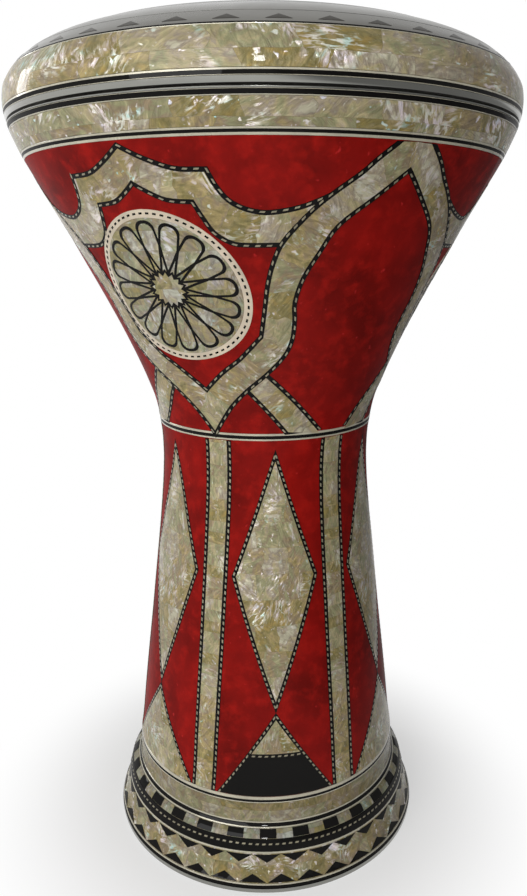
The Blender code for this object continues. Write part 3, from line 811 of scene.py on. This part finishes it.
STEEL = plain_finish("zinc_plated", (.58, .58, .60), 1.0, .2, .38, scale=180.0, grain=.06, vary=.1, patch=200.0)
FILM = plain_finish("coated_film", (.80, .80, .775), 0.0, .36, .5, scale=16.0, grain=.12, vary=.035, patch=9.0)


# Castings, film head and hoop

def drilled(piece, name, depth, middle):
    """The screw holes, cut one by one round a height."""
    for k in range(SCREWS):
        a = math.radians(SCREW_TURN + 360.0 / SCREWS * k)
        clear()
        bpy.ops.mesh.primitive_cylinder_add(vertices=32, radius=.0034, depth=depth,
                                            location=(SCREW_CIRCLE * math.cos(a), SCREW_CIRCLE * math.sin(a), middle))
        tool = fresh("%s_drill_%d" % (name, k + 1))
        hole = piece.modifiers.new("hole", "BOOLEAN")
        hole.operation = "DIFFERENCE"
        hole.solver = "EXACT"
        hole.object = tool
        apply_all(piece)
        pick(tool)
        bpy.ops.object.delete()


def bearing_round(radius):
    """The bearing edge in section, from upright to flat."""
    bends = [math.radians(90.0 * step / 8) for step in range(1, 9)]
    return [(.1010 + radius * math.cos(bend), .45685 + radius * math.sin(bend)) for bend in bends]


def stem_wall():
    loop = [off(body, z, -POCKET) for z in heights(.0026, .2628, .006)[::-1]]
    loop += [off(body, .0026, 0.0), off(body, .0012, 0.0), (.0989, .0003), (.0984, 0.0), (.0966, 0.0),
             (.0961, .0004)]
    loop += [off(body, z, -WALL) for z in heights(.0060, .2628, .006)]
    stem = turned("stem_wall", loop)
    soften(stem)
    paint(stem, RAW, POLISHED)
    for face in stem.data.polygons:
        c = face.center
        if c.z < .0027 and math.hypot(c.x, c.y) > .0955:
            face.material_index = 1
    keep(stem, "stem_casting", "drum_body")


def bowl_wall():
    loop = [(.1389, .4246), (.13875, .4248), (.1060, .4248), (.1044, .4250), (.1040, .4256), (.1040, .4568)]
    loop += bearing_round(.0030)
    loop += [(.1001, .4592), (.0995, .4585), (.0995, .4168), (.1270, .4168), (.1292, .4163), (.1304, .4150)]
    loop += [off(body, z, -WALL) for z in heights(.2664, .4110, .006)[::-1]]
    loop += [off(body, z, -POCKET) for z in heights(.2632, .4241, .005)]
    loop += [off(body, .4242, 0.0)]
    bowl = turned("bowl_wall", loop)
    drilled(bowl, "flange", .020, .4210)
    soften(bowl)
    paint(bowl, RAW, POLISHED)
    for face in bowl.data.polygons:
        if face.center.z > .4239:
            face.material_index = 1
    keep(bowl, "bowl_casting", "drum_body")


def ring_wall():
    loop = CROWN[::-1]
    loop += [off(ring, z, 0.0) for z in (.4630, .4620, .4610, .4600, .4590, .4575, .4560, .45468)]
    loop += [off(ring, .4546, -.0020)]
    loop += [off(ring, z, -POCKET) for z in heights(.4285, .4530, .004)[::-1]]
    loop += [off(ring, .4283, 0.0), off(ring, .4270, 0.0), (.1391, .4262), (.1389, .4260), (.1115, .4260),
             (.1112, .4263), (.1112, .4555), (.1080, .4555), (.1075, .4560)]
    piece = turned("ring_wall", loop)
    drilled(piece, "ring", .0228, .4354)
    soften(piece)
    paint(piece, CROWN_METAL, POLISHED, RAW)
    for face in piece.data.polygons:
        c = face.center
        r = math.hypot(c.x, c.y)
        if c.z < .4284 and r > .137:
            face.material_index = 1
        elif r < .1114 and c.z < .4556 or c.z < .4262:
            face.material_index = 2
    keep(piece, "tension_ring", "ring_assembly")


def film_head():
    loop = [(.10425, .4490), (.10455, .4490), (.10455, .4568)] + bearing_round(.00355)
    loop += [(r, .4604) for r in (.0970, .0800, .0550, .0300, .0080)]
    film = turned("film_head", loop, closed=False, pole=True)
    skin = film.modifiers.new("film", "SOLIDIFY")
    skin.thickness = .00025
    skin.offset = -1.0
    apply_all(film)
    soften(film)
    paint(film, FILM)
    keep(film, "drumhead", "drum_body")


def hoop():
    loop = [(.1054, .4490), (.10955, .4490), (.11005, .4495), (.11005, .4547), (.10955, .4552), (.10535, .4552),
            (.10485, .4547), (.10485, .4495)]
    piece = turned("head_hoop", loop)
    soften(piece, 50.0)
    paint(piece, POLISHED)
    keep(piece, "counter_hoop", "ring_assembly")


stem_wall()
bowl_wall()
ring_wall()
film_head()
hoop()


# Turned inlay bands

def line_band(name, node_name, line, low, high, stripes, rider="drum_body"):
    """Pale and black lines side by side. stripes: (upper height, 0 for pale or 1 for black)."""
    keep(band(name, line, low, high, stripes, (PALE, BLACK)), node_name, rider)


def shell_band(name, node_name, line, low, high, finish, rider="drum_body", slot="pearl_inlay", **settings):
    keep(band(name, line, low, high, [(high, 0)], (finish,), **settings), node_name, rider)


line_band("edge_line", "foot_edge_line", body, .0028, .0055, [(.0047, 1), (.0060, 0)])
line_band("step_line", "foot_step_line", body, .0340, .0371, [(.0344, 0), (.0364, 1), (.0380, 0)])
shell_band("foot_shell_band", "foot_pearl_band", body, .0372, .0488, FOOT_SHELL)
line_band("stem_line", "stem_base_line", body, .0489, .0528, [(.0496, 0), (.0511, 1), (.0530, 0)])
shell_band("stem_field", "stem_red_field", body, .0529, .2611, RED, slot="red_inlay", step=.0045, lift=-.0001)
line_band("neck_lines", "neck_line", body, .2612, .2652, [(.2622, 0), (.2641, 1), (.2660, 0)])
shell_band("bowl_field", "bowl_red_field", body, .2653, .4072, RED, slot="red_inlay", step=.0042, lift=-.0001)
line_band("bowl_lines", "bowl_top_line", body, .4073, .4104, [(.4084, 0), (.4097, 1), (.4110, 0)])
shell_band("rim_shell_band", "rim_pearl_band", body, .4105, .4213, RIM_SHELL, step=.0027)
line_band("rim_lines", "rim_line", body, .4214, .4240, [(.42185, 0), (.4238, 1), (.4250, 0)])
line_band("ring_lines", "ring_base_line", ring, .4284, .4312, [(.4287, 0), (.4304, 1), (.4320, 0)],
          "ring_assembly")
shell_band("ring_shell_band", "ring_pearl_band", ring, .4313, .4479, RING_SHELL, "ring_assembly", step=.0016)


# Figures with a black edging and light stitches

BOWL_STITCH = stitch("bowl_stitch", STITCH_LONG, STITCH_WIDE, .0005, STITCH)
STEM_STITCH = stitch("stem_stitch", .0019, .0009, .0004, STITCH)
DARK_STITCH = stitch("dark_stitch", .0019, .0010, .0002, BLACK)


def bowl_path(points, sign=1.0):
    return [(BOWL_TURN + sign * deg + BOWL_LEAN * level, BOWL_LOW + (BOWL_HIGH - BOWL_LOW) * level)
            for deg, level in points]


# Half of one bowl cell, as (degrees from the medallion's axis, part of the field height)
OGEE_TOP = (rounded([(0, .984), (3.8, .953), (8.6, .924), (12.1, .913), (17.2, .911)])[:-1]
            + rounded([(17.2, .911), (18.5, .866), (20.6, .826), (24.0, .800), (28.8, .788), (35.0, .800),
                       (39.5, .820), (44.0, .848)]))
OGEE_BASE = (rounded([(0, .886), (2.7, .862), (7.1, .834), (13.0, .827)])[:-1]
             + rounded([(13.0, .827), (14.4, .783), (16.4, .735), (20.0, .704), (24.1, .697), (31.6, .698),
                        (36.0, .700)]))
LEG_TOP = rounded([(0, .171), (9.0, .243), (17.2, .301), (25.3, .384)])[:-1] + rounded(
    [(25.3, .384), (26.9, .478), (28.2, .567), (29.9, .639), (32.2, .700), (36, .758), (40.0, .812), (44.3, .860),
     (48.8, .908), (52, .952), (55.4, .994), (58.0, 1.03)])
LEG_BASE = rounded([(0, .006), (4, .054), (10, .118), (17.4, .181), (25.7, .245), (32.2, .312), (34.9, .372),
                    (35.4, .44), (35.2, .505), (37.2, .589), (41.1, .676), (45.1, .760), (53.2, .850), (60, .933)])
SHORT_OUTER = [(22.6, .273), (25.7, .245), (52.3, .004), (52.8, 0.0)]
SHORT_INNER = [(14.3, .208), (17.4, .181), (34.6, .004), (35.0, 0.0)]


def whole(half):
    """The path of a whole cell from its half, left to right."""
    return [(-deg, level) for deg, level in half[:0:-1]] + list(half)


def beyond(half):
    """A leg's path that runs on into the next cell, so that its corner there is mitred."""
    more = [(120.0 - deg, level) for deg, level in half[::-1] if 45.0 < deg < 60.0]
    return [(-deg, level) for deg, level in more[::-1]] + whole(half) + more


def trimmed(path):
    """The part of a bowl path inside its own cell, with its last points on the cell's edges."""
    def deg(point):
        level = (point[1] - BOWL_LOW) / (BOWL_HIGH - BOWL_LOW)
        return point[0] - BOWL_TURN - BOWL_LEAN * level

    kept = []
    for a, b in zip(path, path[1:]):
        da, db = deg(a), deg(b)
        for edge in (-60.0, 60.0):
            if (da - edge) * (db - edge) < 0.0:
                t = (edge - da) / (db - da)
                kept.append((a[0] + (b[0] - a[0]) * t, a[1] + (b[1] - a[1]) * t))
        if -60.0 <= db <= 60.0:
            kept.append(b)
    return kept


def below(path, top):
    """The path cut off where it rises past a height."""
    return [point for point in path if point[1] <= top]


def strap_network():
    top_height = .40715
    # Legs: the lower line of each is the edge of its shell, the upper line the middle of its edging
    leg_base = bowl_path(beyond(LEG_BASE))
    leg_top = beside(bowl_path(whole(LEG_TOP)), -.0012)
    right, left = [(turn, top_height) for turn, _ in bowl_path([(60.0, 1.0), (-60.0, 1.0)])]

    def leg(base, top):
        return trimmed(base) + [right] + below(top, top_height)[::-1] + [left]

    leg_shell = leg(leg_base, leg_top)
    leg_black = leg(beside(leg_base, -EDGING), beside(leg_top, EDGING))

    # Pointed ogee over the medallion and the short straps down to the neck
    ogee_top = beside(bowl_path(whole(OGEE_TOP)), -.0006)
    ogee_base = beside(bowl_path(whole(OGEE_BASE)), .0008)
    ogee_shell = ogee_base + ogee_top[::-1]
    ogee_black = beside(ogee_base, -EDGING) + beside(ogee_top, EDGING)[::-1]
    loops_black, loops_shell, short_rows = [ogee_black], [ogee_shell], []
    for sign in (1.0, -1.0):
        outer = beside(bowl_path(SHORT_OUTER, sign), -.0013 * sign)
        inner = beside(bowl_path(SHORT_INNER, sign), .0013 * sign)
        loops_shell.append(outer + inner[::-1])
        loops_black.append(beside(outer, EDGING * sign) + beside(inner, -EDGING * sign)[::-1])
        short_rows += [beside(outer, STITCH_LINE * sign), beside(inner, -STITCH_LINE * sign)]

    # Middle lines that the chips run along
    leg_guide = bowl_path(beyond([(0, .09), (8, .17), (21, .28), (30, .38), (31.5, .49), (33.5, .60), (37, .70),
                                  (42, .79), (50, .89), (60, 1.0)]))
    ogee_guide = bowl_path(whole([(0, .935), (8, .88), (15.5, .865), (17.5, .79), (22, .752), (28.8, .742),
                                  (40, .76)]))
    short_guides = [bowl_path([(18.4, .24), (43.7, 0.0)], sign) for sign in (1.0, -1.0)]
    guides = [ogee_guide] + short_guides
    parts = [laid("ogee_black", loops_black[:1], EDGE_LIFT, BLACK),
             laid("short_black", loops_black[1:], EDGE_LIFT, BLACK),
             laid("ogee_shell", loops_shell[:1], FACE_LIFT, STRAP_SHELL, guides=guides),
             laid("short_shell", loops_shell[1:], FACE_LIFT, STRAP_SHELL, guides=guides),
             laid("leg_black", [leg_black], UPPER_EDGE_LIFT, BLACK),
             laid("leg_shell", [leg_shell], UPPER_FACE_LIFT, STRAP_SHELL, guides=[leg_guide])]

    leg_rows = [trimmed(beside(leg_base, -STITCH_LINE)), below(beside(leg_top, STITCH_LINE), top_height - .001)]
    ogee_rows = [beside(ogee_top, STITCH_LINE), beside(ogee_base, -STITCH_LINE)]
    parts.append(stitched("leg_stitches", BOWL_STITCH, leg_rows, BOWL_PITCH, .00026))
    parts.append(stitched("ogee_stitches", BOWL_STITCH, ogee_rows + short_rows, BOWL_PITCH,
                          wanted=lambda turn, z: not inside(leg_black, turn, z) and z > BOWL_LOW + .001))
    cells = round_drum(join("bowl_straps", parts), "bowl_straps_next", CELLS)
    keep(join("bowl_straps", cells), "bowl_strapwork", "drum_body")


strap_network()


def medallions():
    """Long petals whose outlines cross one another round a star, in a dashed cream ring."""
    turn0 = BOWL_TURN + MEDALLION_SHIFT + BOWL_LEAN * MEDALLION_LEVEL
    z0 = BOWL_LOW + (BOWL_HIGH - BOWL_LOW) * MEDALLION_LEVEL
    tall = metric(z0)[1]

    def flat(x, y):
        z = z0 + y / tall
        return turn0 + 1.02 * x / metric(z)[0], z

    def at(radius, degrees):
        a = math.radians(degrees)
        return flat(radius * math.cos(a), radius * math.sin(a))

    def circle(radius, count=96):
        return [at(radius, 360.0 * k / count) for k in range(count)]

    def petal(grow, reach):
        """Outline of one petal, open at the star; grow widens it and reach lengthens it."""
        half, tip = PETAL_HALF + grow, PETAL_REACH + reach
        side = [(.0082, half - .0012), (.0150, half - .0008), (.0225, half - .0001)]
        side += [(tip - .0046 + .0046 * math.sin(math.radians(t)), half * math.cos(math.radians(t)) ** .8)
                 for t in (10, 26, 42, 58, 72, 82)]
        side.append((tip, 0.0))
        return side + [(u, -v) for u, v in side[-2::-1]]

    parts = [laid("medallion_cream", [circle(.0413), circle(.0373)], FACE_LIFT, CREAM),
             laid("medallion_field", [circle(.0372)], FACE_LIFT, PETAL_SHELL)]
    outline = petal(.00062, .0006) + petal(-.00062, -.0010)[::-1]
    star, star_black = [], []
    for k in range(PETALS):
        degrees = 360.0 / PETALS * k + PETAL_TURN
        a = math.radians(degrees)
        loop = [flat(u * math.cos(a) - v * math.sin(a), u * math.sin(a) + v * math.cos(a)) for u, v in outline]
        parts.append(laid("petal_line_%d" % k, [loop], UPPER_EDGE_LIFT + .00001 * (k % 4), BLACK, rise_step=.006))
        between = degrees + 180.0 / PETALS
        star += [at(.0072, degrees), at(.0094, between)]
        star_black += [at(.0088, degrees), at(.0113, between)]
    parts.append(laid("star_black", [star_black], UPPER_FACE_LIFT, BLACK))
    parts.append(laid("star_shell", [star], .00028, PETAL_SHELL))
    ring_path = circle(.0394, 120)
    parts.append(stitched("medallion_marks", DARK_STITCH, [ring_path + ring_path[:1]], .0038))
    keep_round(join("rose_1", parts), "rose", "medallion", CELLS)


medallions()


def stem_place(across, z, axis=0.0):
    lean = STEM_LEAN * (STEM_HIGH - z) / (STEM_HIGH - STEM_LOW)
    return STEM_TURN + lean + axis + math.degrees(across / body(z)), z


def edged(name, black, shell, finish, rows):
    """A shell figure on its black edging, with light stitches along rows."""
    return join(name, [laid(name + "_black", [black], EDGE_LIFT, BLACK),
                       laid(name + "_shell", [shell], FACE_LIFT, finish),
                       stitched(name + "_stitches", STEM_STITCH, rows, STEM_PITCH)])


def stem_straps():
    """Upright strap between two panels."""
    rows = heights(STEM_LOW, STEM_HIGH, .02)
    lean = [(-.0004 + .0014 * (z - STEM_LOW) / (STEM_HIGH - STEM_LOW)) for z in rows]

    def side(half):
        return [stem_place(half + shift, z, 30.0) for z, shift in zip(rows, lean)]

    strap = edged("stem_band_1", side(.0079) + side(-.0079)[::-1], side(.0053) + side(-.0053)[::-1], STEM_SHELL,
                  [side(.0070), side(-.0070)[::-1]])
    keep_round(strap, "stem_band", "stem_strap", PANELS)


def stem_lozenges():
    """Long lozenge in the middle of each panel."""
    outline = [stem_place(0.0, LOZENGE_FOOT + .0002), stem_place(.0249, .1832), stem_place(0.0, .2562),
               stem_place(-.0249, .1832)]
    row = around(outline, EDGING - STITCH_LINE)
    lozenge = edged("long_lozenge_1", outline, around(outline, EDGING), FIGURE_SHELL,
                    [[row[i], row[(i + 1) % 4]] for i in range(4)])
    keep_round(lozenge, "long_lozenge", "stem_lozenge", PANELS)


def stem_triangles():
    """The triangle that rises to meet each lozenge. The front one holds the bare black panel."""
    foot = STEM_LOW + .0002
    outer = [stem_place(-.0352, foot), stem_place(.0352, foot), stem_place(0.0, LOZENGE_FOOT + .0006)]
    slopes = [outer[1], outer[2], outer[0]]
    right, apex, left = beside(slopes, EDGING)
    feet = {1: (right[0], foot), -1: (left[0], foot)}
    row = beside(slopes, EDGING - STITCH_LINE)
    rows = [row[:2], row[1:]]
    plain = edged("base_triangle_2", outer, [feet[-1], feet[1], apex], FIGURE_SHELL, rows)
    plain.data.transform(Matrix.Rotation(math.radians(360.0 / PANELS), 4, "Z"))
    keep_round(plain, "base_triangle", "stem_triangle", PANELS, first=2)

    # The front panel: small shell triangle, a stitched cross line and the bare black panel below
    cross, stitch_height, under = .0790, .0776, .0758

    def inner(z, sign):
        t = (apex[1] - z) / (apex[1] - foot)
        return apex[0] + (feet[sign][0] - apex[0]) * t, z

    front = edged("base_triangle_1", outer, [inner(cross, -1), inner(cross, 1), apex], FIGURE_SHELL,
                  rows + [[inner(stitch_height, -1), inner(stitch_height, 1)]])
    keep(front, "stem_triangle_1", "drum_body")
    panel = laid("black_panel", [[inner(foot, -1), inner(foot, 1), inner(under, 1), inner(under, -1)]], .00014, BLACK)
    keep(panel, "name_panel", "drum_body")


stem_straps()
stem_lozenges()
stem_triangles()


def foot_bands():
    # Zigzag: black wedges from both edges of a shell band
    base = band("zigzag_base", body, .0056, .0219, [(1.0, 0)], (ZIGZAG_SHELL,), lift=-.0001)
    low, high = .0060, .0214
    wedges = laid("wedge_pair", [[(-4.7, high), (0.0, .0168), (4.7, high)], [(.3, low), (9.7, low), (5.0, .0104)]],
                  EDGE_LIFT, BLACK, turn_step=1.25, rise_step=.01)
    zigzag = join("zigzag_band", [base] + round_drum(wedges, "wedge_pair_next", ZIGZAGS))
    keep(zigzag, "foot_zigzag_band", "drum_body")

    # Rope: light stitches between two black lines
    base = band("rope_base", body, .0219, .0297, [(.0230, 0), (.0400, 1)], (PALE, BLACK))
    marks = stitched("rope_stitches", STEM_STITCH, [[(a, .0272) for a in range(-180, 181, 3)]], .0039, .0001)
    keep(join("rope_band", [base, marks]), "foot_rope_band", "drum_body")

    # Checker: black squares on pale shell, on the sloping step
    base = band("checker_base", body, .0298, .0339, [(1.0, 0)], (CHECKER_SHELL,), step=.001, lift=-.0001)
    square = laid("checker_square", [[(-3.1, .0300), (3.1, .0300), (3.1, .0337), (-3.1, .0337)]], EDGE_LIFT, BLACK,
                  turn_step=1.0, rise_step=.001)
    square.data.transform(Matrix.Rotation(math.radians(.5), 4, "Z"))
    checker = join("checker_band", [base] + round_drum(square, "checker_square_next", SQUARES))
    keep(checker, "foot_checker_band", "drum_body")


def sawtooth():
    base = band("sawtooth_base", ring, .4480, .4552, [(.44815, 0), (.4489, 1), (.46, 2)], (PALE, BLACK, CROWN_METAL),
                step=.0011, lift=-.00005)
    tooth = laid("tooth", [[(-2.3, .4502), (2.3, .4502), (0.0, .4524)]], .00004, HAZED_TOOTH, line=ring, turn_step=.75,
                 rise_step=.0008)
    tooth.data.transform(Matrix.Rotation(math.radians(2.6), 4, "Z"))
    teeth = join("sawtooth_band", [base] + round_drum(tooth, "tooth_next", TEETH))
    keep(teeth, "ring_sawtooth_band", "ring_assembly")


foot_bands()
sawtooth()
for model in (BOWL_STITCH, STEM_STITCH, DARK_STITCH):
    bpy.data.objects.remove(model)


# Tuning screws and washers

def screw_head():
    """Knurled head with a hexagon socket, and the plain shank."""
    low, top, tip = .4086, .4146, .4446
    head = turned("screw_head", [(.0030, low), (.0046, low), (.0050, low + .0004), (.0050, top - .0003),
                                 (.0047, top), (.0030, top), (.0030, tip - .0008), (.0025, tip), (.0010, tip)],
                  closed=False, pole=True, sides=48)
    # Straight knurl: every other column of the head's side is drawn in
    for vertex in head.data.vertices:
        r = math.hypot(vertex.co.x, vertex.co.y)
        if r > .00495 and low + .0003 < vertex.co.z < top - .0002:
            k = round(math.degrees(math.atan2(vertex.co.y, vertex.co.x)) / 7.5)
            if k % 2:
                vertex.co.x *= .955
                vertex.co.y *= .955
    # Hexagon socket: the open ring under the head is drawn to six flats and sunk
    edit(head)
    pick_open_edge()
    draw_up(0.0)
    clear()
    sixth = math.radians(60.0)
    for vertex in head.data.vertices:
        if vertex.select:
            a = math.atan2(vertex.co.y, vertex.co.x)
            r = .0025 / math.cos((a % sixth) - sixth / 2.0)
            vertex.co.x, vertex.co.y = r * math.cos(a), r * math.sin(a)
    edit(head)
    pick_open_edge()
    draw_up(.0030)
    draw_up(.0004)
    bpy.ops.transform.resize(value=(.4, .4, 1.0), center_override=(0.0, 0.0, low + .0034))
    bpy.ops.mesh.merge(type="CENTER")
    face_outwards()
    soften(head, 35.0)
    return head


def screw_thread():
    """Thread ridges round the shank."""
    low, tip = .4186, .4446
    rows = []
    z = low
    while z < tip - .0012:
        rows += [(.00262, z), (.00302, z + .0005)]
        z += .0010
    rows.append((.00262, z))
    thread = turned("screw_thread", rows + [(.0022, z), (.0022, low)], sides=32)
    soften(thread, 20.0)
    return thread


def screws():
    head, thread = screw_head(), screw_thread()
    paint(head, STEEL)
    paint(thread, STEEL)
    model = join("screw_model", [head, thread])
    washer = turned("washer_model", [(.0060, .41645), (.0060, .41505), (.00585, .4149), (.0036, .4149),
                                     (.0034, .41505), (.0034, .41635), (.00355, .4165), (.00585, .4165)], sides=48)
    soften(washer, 35.0)
    paint(washer, STEEL)
    for piece in (model, washer):
        piece.data.transform(Matrix.Translation((SCREW_CIRCLE, 0.0, 0.0)))
    for k in range(SCREWS):
        turn = SCREW_TURN + 360.0 / SCREWS * k
        screw = again(model, "tuning_screw_%d" % (k + 1), turn)
        keep(screw, "tension_screw_%d" % (k + 1), "tension_screw_%d" % (k + 1))
        disc = again(washer, "screw_washer_%d" % (k + 1), turn)
        keep(disc, "washer_%d" % (k + 1), "drum_body")
    bpy.data.objects.remove(model)
    bpy.data.objects.remove(washer)


screws()


# Floor, lamps, world and camera

def shown(tree, light):
    """1 for the rays that show the background: camera, glossy and transmission rays."""
    first = maths(tree, "MAXIMUM", light.outputs["Is Camera Ray"], light.outputs["Is Glossy Ray"])
    return maths(tree, "MAXIMUM", first, light.outputs["Is Transmission Ray"])


def white_level(tree, light, place, start, end, least):
    """White for the camera. Reflections find it dimmer on the right, from start to end, as in the photo."""
    dim = ranged(tree, node(tree, "SeparateXYZ", (place,)), start, end, 1.0, least, "SMOOTHSTEP")
    return node(tree, "Mix", {0: light.outputs["Is Camera Ray"], 2: dim, 3: 1.0}, data_type="FLOAT")


def pale_floor():
    clear()
    bpy.ops.mesh.primitive_plane_add(size=12.0, location=(0.0, 0.0, -.0002))
    floor = fresh("floor")
    bpy.ops.object.transform_apply(location=True)
    made, tree, shader = finish_start("pale_floor")
    fill(tree, shader, {"Base Color": (.86, .86, .85, 1.0), "Roughness": .7, "Specular IOR Level": .2})
    where = node(tree, "TexCoord").outputs["Object"]
    light = node(tree, "LightPath")
    # The shadow near the foot fades into plain white further out
    away = vector_maths(tree, "LENGTH", where).outputs["Value"]
    share = maths(tree, "MULTIPLY", shown(tree, light), ranged(tree, away, .08, .2, .5, 1.0, "SMOOTHSTEP"))
    white = node(tree, "Emission", (WHITE, white_level(tree, light, where, 0.0, .5, .3)))
    fill(tree, tree.nodes["Material Output"], (node(tree, "MixShader", (share, shader, white)),))
    paint(floor, made)


def white_room():
    world = bpy.data.worlds.new("studio")
    world.use_nodes = True
    bpy.context.scene.world = world
    tree = world.node_tree
    tree.nodes.clear()
    light = node(tree, "LightPath")
    ahead = node(tree, "TexCoord").outputs["Generated"]
    soft = node(tree, "Background", (WHITE, .09))
    white = node(tree, "Background", (WHITE, white_level(tree, light, ahead, -.1, .55, .65)))
    node(tree, "OutputWorld", (node(tree, "MixShader", (shown(tree, light), soft, white)),))


def lamp(name, place, aim, wide, tall, power):
    data = bpy.data.lights.new(name, "AREA")
    data.shape = "RECTANGLE"
    data.size = wide
    data.size_y = tall
    data.energy = power
    made = bpy.data.objects.new(name, data)
    made.location = place
    made.rotation_euler = (Vector(aim) - Vector(place)).to_track_quat("-Z", "Y").to_euler()
    bpy.context.scene.collection.objects.link(made)


def camera():
    data = bpy.data.cameras.new("camera")
    data.sensor_width = 36.0
    data.lens = 30.93
    data.shift_x = -.0154
    data.shift_y = -.0066
    data.clip_start = .01
    made = bpy.data.objects.new("camera", data)
    made.location = (0.0, -.4678, .3622)
    yaw, pitch = math.radians(.92), math.radians(14.11)
    ahead = Vector((math.sin(yaw) * math.cos(pitch), math.cos(yaw) * math.cos(pitch), -math.sin(pitch)))
    made.rotation_euler = ahead.to_track_quat("-Z", "Y").to_euler()
    bpy.context.scene.collection.objects.link(made)
    bpy.context.scene.camera = made
    bpy.context.scene.view_settings.view_transform = "Standard"


pale_floor()
white_room()
lamp("key_window", (-1.12, -1.66, .75), (0.0, 0.0, .3), 1.4, 1.4, 29.0)
lamp("front_window", (-.05, -1.75, .74), (0.0, 0.0, .42), .12, .22, 7.0)
lamp("side_window", (-1.36, .62, .75), (0.0, 0.0, .38), .25, .4, 3.5)
camera()
clear()
